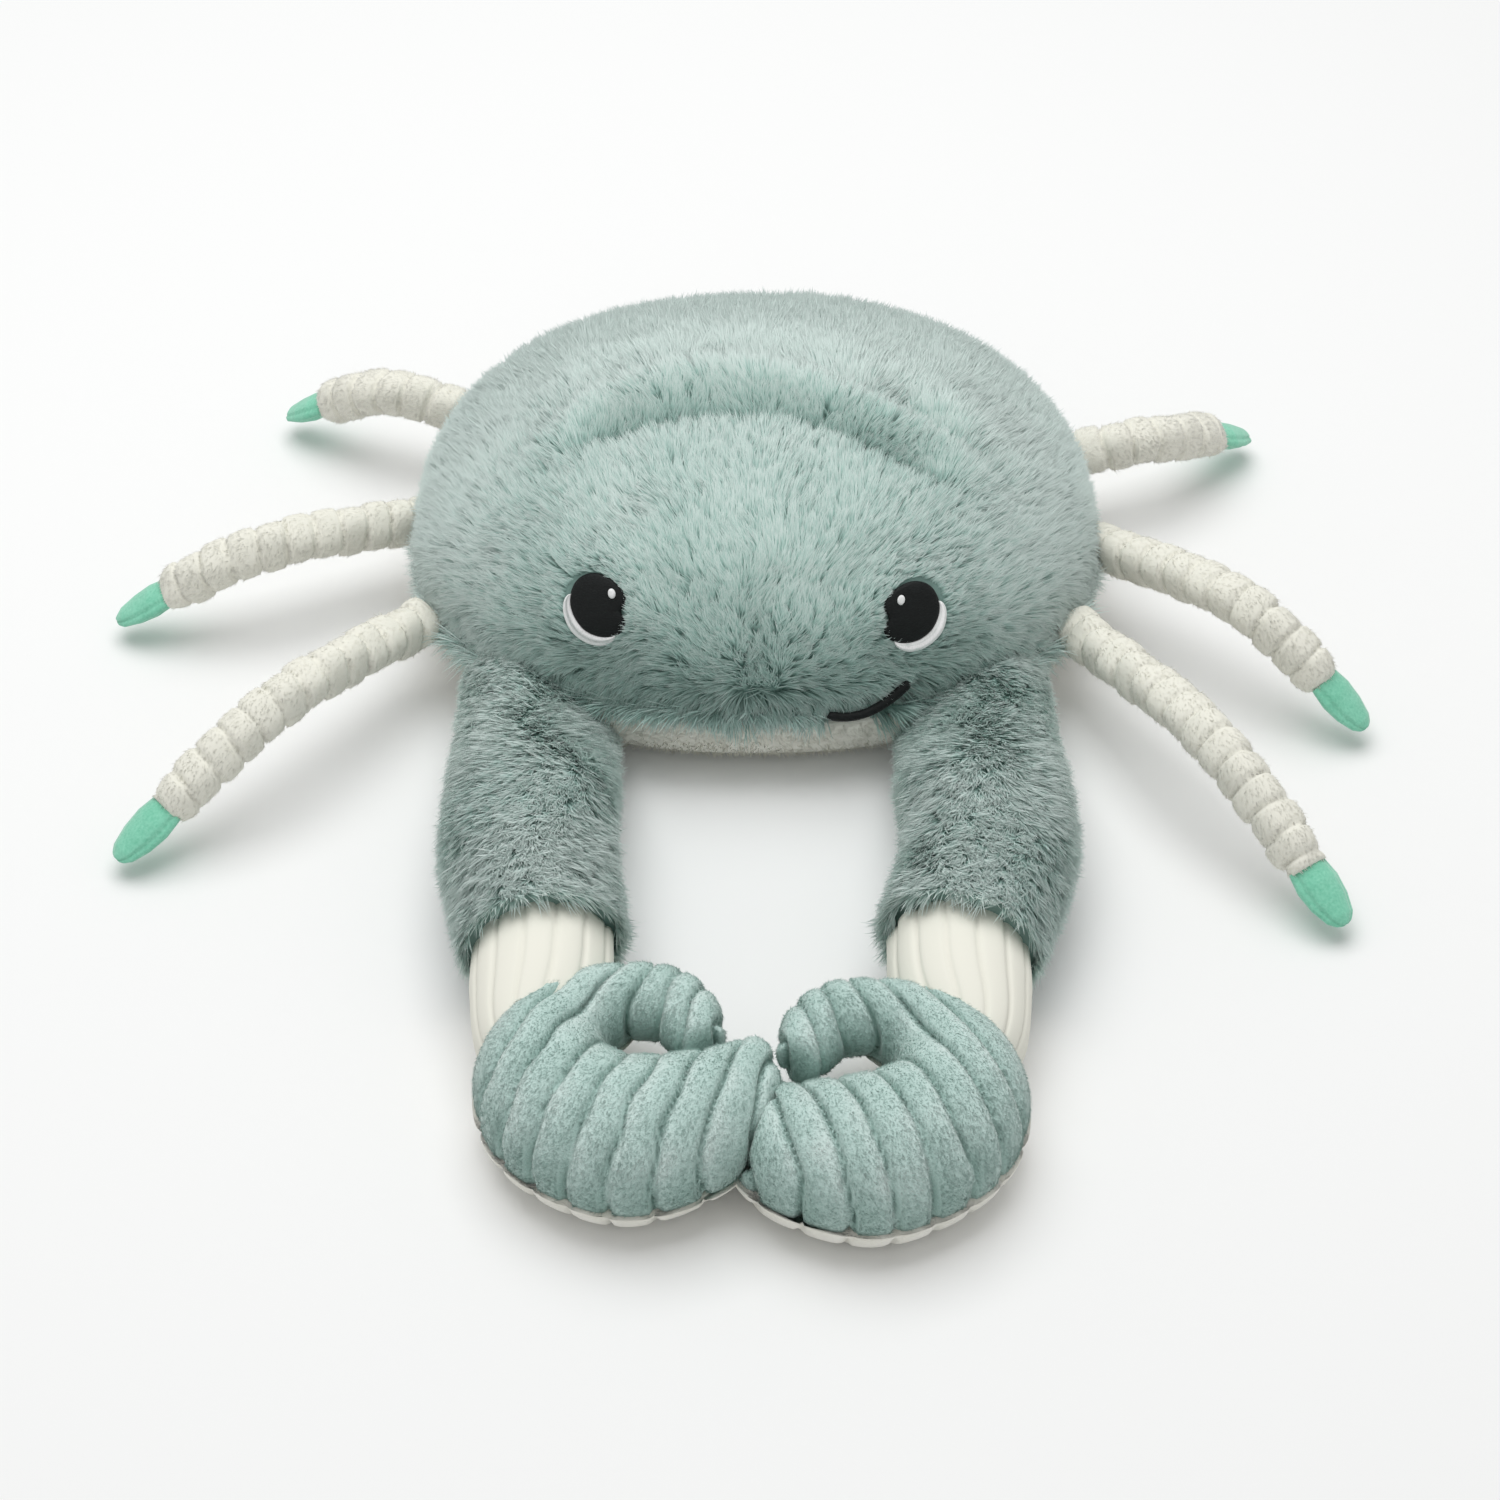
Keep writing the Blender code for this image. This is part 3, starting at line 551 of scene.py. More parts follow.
class Shader:
    """Builds a material's nodes."""

    def __init__(self, name):
        self.material = bpy.data.materials.new(name)
        self.material.use_nodes = True
        self.tree = self.material.node_tree
        self.shader = self.tree.nodes["Principled BSDF"]
        self.coordinates = self.tree.nodes.new("ShaderNodeTexCoord").outputs["Object"]

    def node(self, kind, **inputs):
        made = self.tree.nodes.new(kind)
        for name, value in inputs.items():
            self.put(made.inputs[name.replace("_", " ")], value)
        return made

    def put(self, socket, value):
        if isinstance(value, bpy.types.NodeSocket):
            self.tree.links.new(value, socket)
        else:
            socket.default_value = value

    def attribute(self, name):
        made = self.tree.nodes.new("ShaderNodeAttribute")
        made.attribute_name = name
        return made.outputs["Fac"]

    def noise(self, scale, detail=2.0, stretch=None):
        vector = self.coordinates
        if stretch:
            vector = self.node("ShaderNodeMapping", Vector=vector, Scale=stretch).outputs[0]
        made = self.node("ShaderNodeTexNoise", Vector=vector, Scale=scale, Detail=detail)
        return made.outputs["Fac"]

    def plus(self, a, b):
        return self.math("ADD", a, b)

    def times(self, a, b):
        return self.math("MULTIPLY", a, b)

    def about_zero(self, noise, strength):
        """Noise moved from around a half to around zero."""
        return self.times(self.math("SUBTRACT", noise, 0.5), strength)

    def math(self, operation, a, b):
        made = self.tree.nodes.new("ShaderNodeMath")
        made.operation = operation
        self.put(made.inputs[0], a)
        self.put(made.inputs[1], b)
        return made.outputs[0]

    def ramp(self, value, stops):
        """Colours at given places between 0 and 1."""
        made = self.node("ShaderNodeValToRGB", Fac=value)
        points = made.color_ramp.elements
        while len(points) < len(stops):
            points.new(0.5)
        for point, (place, code) in zip(points, stops):
            point.position = place
            point.color = linear(code)
        return made.outputs[0]

    def mix(self, factor, a, b):
        made = self.tree.nodes.new("ShaderNodeMix")
        made.data_type = "RGBA"
        self.put(made.inputs["Factor"], factor)
        self.put(made.inputs["A"], a)
        self.put(made.inputs["B"], b)
        return made.outputs["Result"]

    def bump(self, height, strength, distance):
        made = self.node("ShaderNodeBump", Height=height, Strength=strength, Distance=distance)
        self.put(self.shader.inputs["Normal"], made.outputs[0])

    def let_light_through(self, colour, share):
        """Mixes in the light that comes through thin fibres."""
        behind = self.node("ShaderNodeBsdfTranslucent", Color=colour)
        mixed = self.tree.nodes.new("ShaderNodeMixShader")
        mixed.inputs[0].default_value = share
        self.put(mixed.inputs[1], self.shader.outputs[0])
        self.put(mixed.inputs[2], behind.outputs[0])
        output = self.tree.nodes["Material Output"]
        self.put(output.inputs["Surface"], mixed.outputs[0])

    def finish(self, colour, roughness, sheen=0.0, sheen_roughness=0.5, sheen_tint=WHITE):
        self.put(self.shader.inputs["Base Color"], colour)
        self.put(self.shader.inputs["Roughness"], roughness)
        self.shader.inputs["Specular IOR Level"].default_value = 0.2
        self.shader.inputs["Sheen Weight"].default_value = sheen
        self.shader.inputs["Sheen Roughness"].default_value = sheen_roughness
        self.shader.inputs["Sheen Tint"].default_value = linear(sheen_tint)
        return self.material


def pile_material(name, root, middle, tip, variation, sheen):
    """Pile that is dark at its roots, as painted shade deep in the pile, and pale at its tips, and varies
    from tuft to tuft and with the painted light its blades carry.
    """
    s = Shader(name)
    broad = s.about_zero(s.noise(35.0, 3.0), 0.35)
    own = s.times(s.attribute("tint_and_painted_light"), variation)
    height = s.plus(s.plus(s.attribute("height"), own), broad)
    colour = s.ramp(height, [(0.0, root), (0.55, middle), (1.0, tip)])
    s.let_light_through(colour, 0.3)
    return s.finish(colour, 0.85, sheen, sheen_tint=tip)


def short_pile_material(name, dark, middle, light, sheen):
    """Short pile whose colour follows the painted light and shade given for the cloth under it, and which
    is a little darker at its roots, as painted shade.
    """
    s = Shader(name)
    mottle = s.about_zero(s.noise(75.0, 3.0), 1.1)
    own = s.times(s.attribute("tint_and_painted_light"), 0.20)
    raised = s.times(s.attribute("height"), 0.06)
    value = s.plus(s.plus(s.plus(own, raised), mottle), 0.45)
    colour = s.ramp(value, [(0.0, dark), (0.5, middle), (1.0, light)])
    s.let_light_through(colour, 0.3)
    return s.finish(colour, 0.85, sheen)


def skin_material(name, dark, light):
    """Backing cloth between the roots of the pile."""
    s = Shader(name)
    colour = s.mix(s.noise(180.0, 4.0), linear(dark), linear(light))
    s.bump(s.noise(900.0, 3.0), 0.4, 0.5 * MM)
    return s.finish(colour, 0.95, 0.3)


def corduroy_material(name, dark, middle, light, sheen):
    """Wide-wale corduroy: painted shade in its grooves and a painted highlight on its crests, from the
    wale attribute, with brushed mottling.
    """
    s = Shader(name)
    brushed = s.noise(75.0, 4.0)
    fine = s.noise(1400.0, 3.0)
    mottle = s.plus(s.times(brushed, 0.45), s.times(fine, 0.25))
    height = s.plus(s.times(s.attribute("wale"), 0.75), s.math("SUBTRACT", mottle, 0.3))
    colour = s.ramp(height, [(0.0, dark), (0.5, middle), (1.0, light)])
    s.bump(s.plus(fine, s.times(brushed, 1.5)), 0.6, 0.6 * MM)
    return s.finish(colour, 0.9, sheen)


def felt_material(name, dark, light):
    """Pressed felt with fibres lying every way."""
    s = Shader(name)
    fibres = s.noise(1100.0, 6.0)
    cloudy = s.noise(120.0, 3.0)
    value = s.plus(s.times(fibres, 0.7), s.times(cloudy, 0.4))
    colour = s.ramp(value, [(0.25, dark), (0.75, light)])
    s.bump(fibres, 0.5, 0.4 * MM)
    return s.finish(colour, 0.9, 0.5)


def thread_material(name, dark, light, stretch, sheen):
    """Satin stitch: fine parallel threads with a soft gloss."""
    s = Shader(name)
    threads = s.noise(900.0, 3.0, stretch)
    colour = s.ramp(threads, [(0.3, dark), (0.7, light)])
    s.bump(threads, 0.8, 0.3 * MM)
    return s.finish(colour, 0.5, sheen)


def clothe(ob, material, nodes=()):
    """Gives a piece its material, hangs it on the root body and hides the imported parts it replaces."""
    ob.data.materials.clear()
    ob.data.materials.append(material)
    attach(ob, "root")
    if nodes:
        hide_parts(*nodes)
    return ob


# Face


def on_front(tree, x, z, lift):
    """The place on the face in front of x and z, raised along the surface's normal."""
    hit, normal, _, _ = tree.ray_cast(Vector((x, -1.0, z)), Vector((0, 1, 0)))
    return hit + normal * lift


def eye_distance(places, side):
    """How far outside the eye's edge each place lies, in metres, seen from the front."""
    across = SIDES[side] * (places[:, 0] - EYE_X[side])
    up = places[:, 2] - EYE_Z[side]
    angle = np.arctan2(up, across)
    edge = np.hypot(EYE_WIDTH / 2 * np.cos(angle), EYE_HEIGHT / 2 * np.sin(angle))
    turned = np.remainder(angle - math.radians(sum(EYE_WHITE_ANGLES) / 2) + math.pi, 2 * math.pi) - math.pi
    edge += EYE_WHITE_WIDTH * bell(turned, 0.85)
    return np.hypot(across, up) - edge


def mouth_line():
    """The mouth's line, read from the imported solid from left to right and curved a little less."""
    points, _, _ = read_mesh(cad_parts["mouth"].data)
    order = np.argsort(points[:, 0])
    groups = np.array_split(points[order], 12)
    line = np.array([group.mean(0) for group in groups])
    line[:, 2] += mouth_raise(np.linspace(0, 1, 12))
    return line


def mouth_raise(share):
    """How far the mouth is raised at each share of its length."""
    return MOUTH_RAISE * np.sin((0.12 + 0.88 * share) * math.pi)


def mouth_distance(places):
    """How far each place lies from the mouth's line, seen from the front."""
    fine = catmull(mouth_line(), 60)
    gaps = np.hypot(places[:, None, 0] - fine[None, :, 0], places[:, None, 2] - fine[None, :, 2])
    return gaps.min(1)


# Body


def outline_radius(angle):
    """Distance from the middle of the body to its seam, in that direction in plan."""
    depth = np.where(np.sin(angle) > 0, BODY_REAR, BODY_FRONT)
    across = np.abs(np.cos(angle) / (BODY_WIDTH / 2)) ** OUTLINE_POWER
    along = np.abs(np.sin(angle) / depth) ** OUTLINE_POWER
    return (across + along) ** (-1 / OUTLINE_POWER)


def dome(name):
    """The stuffed upper body, closed by a flat face at the seam."""
    u, v = np.meshgrid(np.linspace(-1, 1, DOME_COLUMNS), np.linspace(-1, 1, DOME_ROWS))
    x = (u * np.sqrt(1 - v * v / 2)).ravel()
    y = (v * np.sqrt(1 - u * u / 2)).ravel()
    radius, angle = np.minimum(1.0, np.hypot(x, y)), np.arctan2(y, x)
    reach = outline_radius(angle) * np.sin(radius * math.pi / 2)
    rise = np.clip(np.cos(radius * math.pi / 2), 0, 1)
    z = SEAM_HEIGHT + (BODY_HEIGHT - SEAM_HEIGHT) * rise**DOME_FULLNESS
    points = np.column_stack([reach * np.cos(angle) + BODY_SHIFT, reach * np.sin(angle), z])
    faces = []
    for row in range(DOME_ROWS - 1):
        for column in range(DOME_COLUMNS - 1):
            a = row * DOME_COLUMNS + column
            faces.append((a, a + 1, a + DOME_COLUMNS + 1, a + DOME_COLUMNS))
    ob = mesh_from(name, points, faces)
    close_base(ob)
    return ob


def close_base(ob):
    """Closes the open rim with a flat face that has a narrow border."""
    bm = bmesh.new()
    bm.from_mesh(ob.data)
    rim = [edge for edge in bm.edges if edge.is_boundary]
    base = bmesh.ops.contextual_create(bm, geom=rim)["faces"]
    bmesh.ops.inset_region(bm, faces=base, thickness=0.008)
    bmesh.ops.recalc_face_normals(bm, faces=bm.faces)
    bm.to_mesh(ob.data)
    bm.free()
    ob.data.shade_smooth()


def open_base(ob):
    """Takes the flat face and its border away, since a face of so many sides divides slowly."""
    bm = bmesh.new()
    bm.from_mesh(ob.data)
    base = max(bm.faces, key=lambda face: len(face.verts))
    border = {face for vert in base.verts for face in vert.link_faces}
    bmesh.ops.delete(bm, geom=list(border), context="FACES")
    bm.to_mesh(ob.data)
    bm.free()


def fold_crest(x):
    """Y of the fold's crest at each x."""
    return np.interp(x / MM, *zip(*FOLD_CREST)) * MM


def groove_share(x):
    """1 along the groove in front of the fold, and 0 past its ends."""
    return np.exp(-((np.abs(x - GROOVE_MIDDLE) / GROOVE_HALF_LENGTH) ** 8))


def fold(points):
    """How far the rolled fold across the back lifts or sinks each point."""
    x, y = points[:, 0], points[:, 1]
    crest = fold_crest(x)
    band = np.interp(x / MM, *zip(*FOLD_BAND)) * MM
    strength = np.exp(-((np.abs(x - FOLD_MIDDLE) / FOLD_HALF_LENGTH) ** 6))
    ends = bell(x + 0.044, 0.012) + 0.6 * bell(x - 0.056, 0.016)
    lift = FOLD_RISE * strength * bell(y - crest - 0.001, FOLD_WIDTH)
    lift -= FOLD_VALLEY * strength * bell(y - crest - 0.016, 0.009)
    lift -= FOLD_DROP * groove_share(x) * bell(y - crest + band, band * 0.48) * (1 + 0.4 * ends)
    cosine, sine = SIDE_CREASE_TURN
    along = (x - SIDE_CREASE[0]) * cosine - (y - SIDE_CREASE[1]) * sine
    across = (x - SIDE_CREASE[0]) * sine + (y - SIDE_CREASE[1]) * cosine
    lift -= SIDE_CREASE_DEPTH * bell(along, 0.013) * bell(across, 0.0045)
    return lift * (points[:, 2] > SEAM_HEIGHT + 0.01)


def fold_shade(places):
    """Painted shade under the fold, where the pile hangs over: 0 to 1."""
    x, y, _ = places.T
    return groove_share(x) * bell(y - fold_crest(x) + 0.0115, 0.0070)


def body_flow(places, normals):
    """The pile lies away from the bottom of the face, and downward along the seam."""
    away = unit(places - np.array(FUR_SOURCE))
    outer = rising(np.abs(places[:, 0]), 0, 0.07) ** 2
    low = falling(places[:, 2], 0.037 + 0.010 * outer, 0.008)
    away[:, 2] -= 2.0 * low
    whorl = bell(np.linalg.norm(places - np.array(WHORL), axis=1), 0.007)
    away += 0.9 * whorl[:, None] * np.array((-0.6, 0.0, -1.0))
    return tangential(away, normals)


def face_depth(places):
    """How deep under the outer surface the backing lies: less near the embroidery."""
    near = np.full(len(places), 1.0)
    for side in SIDES:
        near = np.minimum(near, eye_distance(places, side) / 0.013)
    near = np.minimum(near, 0.25 + mouth_distance(places) / 0.014)
    share = np.clip(near, 0, 1)
    share = share * share * (3 - 2 * share)
    return np.where(places[:, 1] < FACE_BACK_Y, 0.16 + 0.84 * share, 1.0)


def body_skin(look):
    """The backing under the body's pile, with the fold and the seam down the face."""
    skin = dome("body_skin")
    shift_along_normals(skin, -BODY_INSET)
    stuff(skin, BODY_PRESSURE, BODY_TRAVEL)
    open_base(skin)
    subdivide(skin, 1)
    close_base(skin)
    points, normals, _ = read_mesh(skin.data)
    upper = points[:, 2] > SEAM_HEIGHT - 0.001
    seam = bell(points[:, 0] - FUR_SOURCE[0], 0.005) * bell(points[:, 2] - 0.050, 0.022)
    points[:, 2] += fold(points)
    points[:, 1] += FACE_SEAM_DEPTH * seam * (points[:, 1] < 0)
    points -= normals * (SKIN_DEPTH * face_depth(points) * upper)[:, None]
    points[:, 2] = np.maximum(points[:, 2], SEAM_HEIGHT + 0.0003)
    place_vertices(skin, points)
    clothe(skin, look, ["body"])
    return skin


def body_places(skin, rng):
    """Where the body's pile grows, parted round the embroidery, and how long it may be there."""
    places, normals = scatter(skin, int(BODY_BLADES * SPARE_PLACES), rng)
    x, y, z = places.T
    keep = (z > SEAM_HEIGHT + 0.001) & (normals[:, 2] > -0.7)
    front = y < FACE_BACK_Y
    limit = np.full(len(places), 1.0)
    for side in SIDES:
        gap = eye_distance(places, side)
        inner = SIDES[side] * (x - EYE_X[side]) < -0.004
        keep &= ~(front & (gap < np.where(inner, EYE_PARTING_INNER, EYE_PARTING)))
        limit = np.where(front, np.minimum(limit, PILE_BY_EYE + np.maximum(gap, 0) * 0.6), limit)
    gap = mouth_distance(places)
    keep &= ~(front & (gap < MOUTH_PARTING))
    line = mouth_line()
    above = z > np.interp(x, line[:, 0], line[:, 2])
    near_mouth = np.minimum(limit, PILE_BY_MOUTH + np.maximum(gap, 0) * 0.8)
    limit = np.where(front & above, near_mouth, limit)
    return (rows[keep][:BODY_BLADES] for rows in (places, normals, limit))


def make_body():
    fur = pile_material("fur_pile", FUR_ROOT, FUR_MIDDLE, FUR_TIP, 0.10, 1.0)
    # The backing's two greens are darker than the pile: painted shade seen in the gaps between the blades.
    skin_look = skin_material("fur_backing", "#6d8a83", "#8aa59e")
    skin = body_skin(skin_look)
    rng = np.random.default_rng(11)
    places, normals, limit = body_places(skin, rng)
    x, y, z = places.T
    hem = falling(z, 0.033, 0.006) * (y < -0.04)
    length = np.minimum(FUR_LENGTH, limit) * (1 + 0.55 * hem)
    rough = falling(z, 0.062, 0.03) * falling(y, 0, 0.05)
    rear = rising(y, -0.03, 0.05)
    # Painted light and shade: the pile paler towards the back and darker low on the front of the face.
    tone = 1.2 + 4.4 * rear - 1.9 * rough
    # Painted light: paler on the outer sides.
    tone += 2.6 * rising(np.abs(x), 0.070, 0.03)
    # Painted shade under the fold.
    tone -= 2.6 * fold_shade(places)
    part = np.where(y < -0.045, 0, 2) + (x > 0)
    names = ("fur_face_left", "fur_face_right", "fur_back_left", "fur_back_right")
    pieces = grow(
        names, part, places, normals, body_flow(places, normals), rng, length, FUR_WIDTH,
        gather=0.2 + 0.4 * rough - 0.15 * rear, ruffle=0.22 + 0.16 * rough, calm=0.5 + 0.5 * rough,
        tone=tone, steep=1 - 0.2 * rear,
    )
    for piece in pieces:
        clothe(piece, fur)
    return fur, skin_look


def make_sleeve(side, fur, skin_look):
    node = "sleeve_" + side
    sign = SIDES[side]
    root_x = sign * ARM_ROOT_X[side]
    end_x = sign * (ARM_END_X + CLAW_SHIFT[side][0])
    bow_x = sign * ARM_BOW_X[side]
    middle_z = SLEEVE_HEIGHT / 2 + 0.0008
    wide, high = SLEEVE_WIDTH / 2, SLEEVE_HEIGHT / 2
    keys = (
        (root_x, -0.058, middle_z - 0.005, wide * 0.98, high * 0.80),
        (root_x, -0.082, middle_z - 0.005, wide * 0.98, high * 0.80),
        (bow_x, -0.128, middle_z, wide, high),
        (bow_x, -0.160, middle_z, wide, high),
        (end_x, SLEEVE_END_Y + 0.004, middle_z, wide * 0.94, high),
    )
    skin = tube(node + "_skin", catmull(keys, SLEEVE_RINGS), SLEEVE_SIDES)
    points, _, _ = read_mesh(skin.data)
    inward = np.maximum(sign * (root_x - points[:, 0]) + 0.010, 0)
    rooted = rising(points[:, 1], -0.135, 0.045)
    points[:, 2] -= 0.42 * inward * rooted * rising(points[:, 2], 0, 0.04)
    place_vertices(skin, points)
    shift_along_normals(skin, -SLEEVE_INSET)
    stuff(skin, SLEEVE_PRESSURE, SLEEVE_TRAVEL)
    shift_along_normals(skin, -SLEEVE_SKIN_DEPTH)
    subdivide(skin, 1)
    clothe(skin, skin_look, [node])
    rng = np.random.default_rng(31 + sign)
    places, normals = scatter(skin, int(SLEEVE_BLADES * SPARE_PLACES), rng)
    keep = (np.abs(normals[:, 1]) < 0.75) & (normals[:, 2] > -0.93) & (places[:, 1] < -0.062)
    places, normals = places[keep][:SLEEVE_BLADES], normals[keep][:SLEEVE_BLADES]
    low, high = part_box(node)
    splay = (places[:, 0] - (low.x + high.x) / 2) / ((high.x - low.x) / 2)
    splay = splay * 0.9 + 0.35 * waves(places, 0.05, 40 + sign)
    flow = np.column_stack([splay, np.full(len(places), -0.9), np.zeros(len(places))])
    near_root = rising(places[:, 1], -0.125, 0.03)
    # The tone lifts the sleeves' pile paler, as painted light, and the waves vary it at random.
    pieces = grow(
        ["fur_" + node], np.zeros(len(places)), places, normals, tangential(flow, normals), rng,
        FUR_LENGTH * (1 - 0.35 * near_root), FUR_WIDTH, gather=0.25, ruffle=0.4, per_tuft=14,
        tone=3.0 + 1.2 * waves(places, 0.05, 3), steep=0.75,
    )
    clothe(pieces[0], fur)


# Corduroy


def claw_place(side, x, y):
    """Mirrors and moves a plan position from the claw's own frame to the crab's."""
    shift_x, shift_y = CLAW_SHIFT[side]
    return np.array((SIDES[side] * (ARM_END_X + shift_x - x), CLAW_Y + shift_y + y, 0.0))


def claw_body(side):
    """The stuffed claw without wales."""
    stations, across = [], []
    for outer_x, outer_y, inner_x, inner_y, z, half, lift in catmull(CLAW_STATIONS, CLAW_RINGS):
        outer = claw_place(side, outer_x, outer_y)
        inner = claw_place(side, inner_x, inner_y)
        middle = (outer + inner) / 2
        width = np.linalg.norm(outer - inner)
        stations.append((*middle[:2], z + TIP_LIFT[side] * lift, width / 2, half))
        across.append((outer - inner) / width)
    return tube("claw_form_" + side, stations, CLAW_SIDES, across=across)


def fan_position(side, points):
    """How far across the fan of wales each point lies, counted in wales that waver a little."""
    pivot = claw_place(side, *FAN_PIVOT)
    sideways = SIDES[side] * (points[:, 0] - pivot[0])
    fan = np.arctan2(sideways, pivot[1] - points[:, 1]) * FAN_RADIUS / WALE_PITCH
    return fan + 0.05 * waves(points, 0.02, 8)


def beside_tip(side, points):
    """0 at the end of the big finger, where no wale has room, and 1 away from it."""
    outer_x, outer_y, inner_x, inner_y = CLAW_STATIONS[-1][:4]
    end = claw_place(side, (outer_x + inner_x) / 2, (outer_y + inner_y) / 2)
    return rising(np.hypot(points[:, 0] - end[0], points[:, 1] - end[1]), 0.003, 0.004)


def wale_profile(position, groove):
    """Share of a wale's full height: rounded, and lowest in the groove at each whole number."""
    away = np.abs(position - np.round(position))
    rounded = 1 - bell(away, 0.085)
    puff = 0.20 * np.sin(math.pi * np.clip(position - np.floor(position), 0, 1))
    return rounded * (0.80 + puff) - groove * bell(away, 0.05)


def painted_wale_light(position):
    """Painted light on the wales: a painted highlight beside one groove, painted shade towards the next
    and in the grooves.
    """
    phase = position - np.floor(position)
    away = np.minimum(phase, 1 - phase)
    fade = 0.42 + 0.45 * phase**1.5
    return fade * (1 - 0.8 * bell(away, 0.055))


def low_painted_shade(points):
    """Share of painted shade low on the claws: all of it near the floor, and none from 34 mm up."""
    return falling(points[:, 2], 0.034, 0.020)


def keep_between(ob, low, high):
    """Cuts a closed mesh level at two heights and closes it again."""
    bm = bmesh.new()
    bm.from_mesh(ob.data)
    for height, normal in ((low, (0, 0, -1)), (high, (0, 0, 1))):
        if height is None:
            continue
        geometry = bm.verts[:] + bm.edges[:] + bm.faces[:]
        cut = bmesh.ops.bisect_plane(
            bm, geom=geometry, dist=1e-6, plane_co=(0, 0, height), plane_no=normal, clear_outer=True
        )
        edges = [item for item in cut["geom_cut"] if isinstance(item, bmesh.types.BMEdge)]
        bmesh.ops.holes_fill(bm, edges=edges)
    bm.to_mesh(ob.data)
    bm.free()
    ob.data.shade_smooth()


def give_way(ob, neighbour, gap):
    """Moves what lies inside the neighbour or nearer than the gap out to the gap."""
    tree = surface_of(neighbour.data)
    for vert in ob.data.vertices:
        hit, normal, _, distance = tree.find_nearest(vert.co, 0.02)
        if hit is None:
            continue
        if distance < gap or (vert.co - hit).dot(normal) < 0:
            vert.co = hit + normal * gap
    ob.data.update()


def fuzz(name, ob, count, flow, seed, length, width, material, shade=None, mask=None, steep=1.3):
    """Short brushed pile on a piece, carrying the painted light and shade given for the cloth under it."""
    rng = np.random.default_rng(seed)
    places, normals = scatter(ob, count, rng)
    if mask is not None:
        keep = mask(places, normals)
        places, normals = places[keep], normals[keep]
    tone = shade(places) if shade else 0.0
    pieces = grow(
        [name], np.zeros(len(places)), places, normals, tangential(flow(places), normals), rng,
        length * (0.7 + 0.8 * rng.random(len(places)) ** 3), width, ruffle=0.2, per_tuft=4, tone=tone,
        calm=0.2, steep=steep,
    )
    clothe(pieces[0], material)


def raise_wales(ob, side, depth, floor):
    """Shapes the wales on one half of a claw, above its flat underside, and notes their painted light and
    shade.
    """
    points, normals, _ = read_mesh(ob.data)
    flat = np.abs(normals[:, 2]) * (points[:, 2] < floor + 0.0005)
    position = fan_position(side, points)
    rise = (WALE_CREST + depth) * (wale_profile(position, 0.35) - 1) + WALE_CREST
    shift_along_normals(ob, rise * (1 - flat) * beside_tip(side, points))
    # The wale attribute is painted light: highlight and shade by the grooves, and painted shade low down.
    set_attribute(ob.data, "wale", painted_wale_light(position) - 0.45 * low_painted_shade(points))
    points, _, _ = read_mesh(ob.data)
    points[:, 2] = np.maximum(points[:, 2], floor)
    place_vertices(ob, points)


def make_claws():
    cloth = corduroy_material("teal_corduroy", TEAL_DARK, TEAL, TEAL_LIGHT, 0.5)
    pile = short_pile_material("teal_pile", TEAL_DARK, TEAL, TEAL_LIGHT, 0.5)
    cream = corduroy_material("cream_corduroy", CREAM_DARK, CREAM, CREAM, 0.7)
    neighbour = None
    for side, sign in SIDES.items():
        form = claw_body(side)
        stuff(form, CLAW_PRESSURE, CLAW_TRAVEL)
        lower = twin(form)
        bpy.context.scene.collection.objects.link(lower)
        for ob, overhang in ((form, 0.0), (lower, UNDERSIDE_OVERHANG)):
            subdivide(ob, 2)
            if overhang:
                shift_along_normals(ob, overhang)
            if neighbour:
                give_way(ob, neighbour, CLAW_GAP)
        neighbour = neighbour or twin(form)
        keep_between(form, CLAW_SEAM_HEIGHT, None)
        keep_between(lower, 0.0, CLAW_SEAM_HEIGHT + UNDERSIDE_OVERLAP)
        raise_wales(form, side, WALE_GROOVE, CLAW_SEAM_HEIGHT)
        raise_wales(lower, side, UNDERSIDE_GROOVE, 0.0)
        form.name = "claw_" + side + "_cloth"
        lower.name = "claw_underside_" + side + "_cloth"
        clothe(form, cloth, ["claw_" + side])
        clothe(lower, cream, ["claw_underside_" + side])

        def across_wales(points, side=side, sign=sign):
            radial = points - claw_place(side, *FAN_PIVOT)
            return np.column_stack([radial[:, 0] * 0.6 + sign * 0.12, radial[:, 1], -np.abs(radial[:, 2])])

        # Painted light for the claws' pile: that of the wales, and painted shade low on the claws.
        def shade(points, side=side):
            return painted_wale_light(fan_position(side, points)) * 3 - 1.2 - 2.2 * low_painted_shade(points)

        def off_seam(places, normals):
            return normals[:, 2] > -0.9

        fuzz("fuzz_claw_" + side, form, CLAW_FUZZ, across_wales, 61 + sign, FUZZ_LENGTH,
             FUZZ_WIDTH, pile, shade, off_seam, steep=0.8)


def make_cuffs():
    """The cuffs, in the plain cream that the frame loads with the solids."""
    plain_cream = bpy.data.materials["cream_corduroy"]
    for side, sign in SIDES.items():
        x = sign * (ARM_END_X + CLAW_SHIFT[side][0])
        keys = []
        for forward, outward, wide, thick in CUFF_STATIONS:
            high = CUFF_HEIGHT / 2 * thick
            keys.append((x + sign * outward, SLEEVE_END_Y - forward, high, CUFF_WIDTH / 2 * wide, high))

        def swell(number, angles):
            gather = 0.0005 * np.sin(angles * 9 + 1.3) * math.exp(-number / 8)
            return CUFF_GROOVE * (wale_profile(angles * CUFF_WALES / (2 * math.pi), 0.3) - 1) + gather

        ob = tube("cuff_" + side + "_cloth", catmull(keys, CUFF_RINGS), CUFF_SIDES, swell)
        points, _, _ = read_mesh(ob.data)
        angle = np.arctan2(points[:, 2] - CUFF_HEIGHT / 2, points[:, 0] - x)
        # Painted shade for the cuff's corduroy: darker in the grooves between the wales.
        set_attribute(ob.data, "wale", 0.5 + 0.5 * wale_profile(-angle * CUFF_WALES / (2 * math.pi), 0.3))
        clothe(ob, plain_cream, ["cuff_" + side])


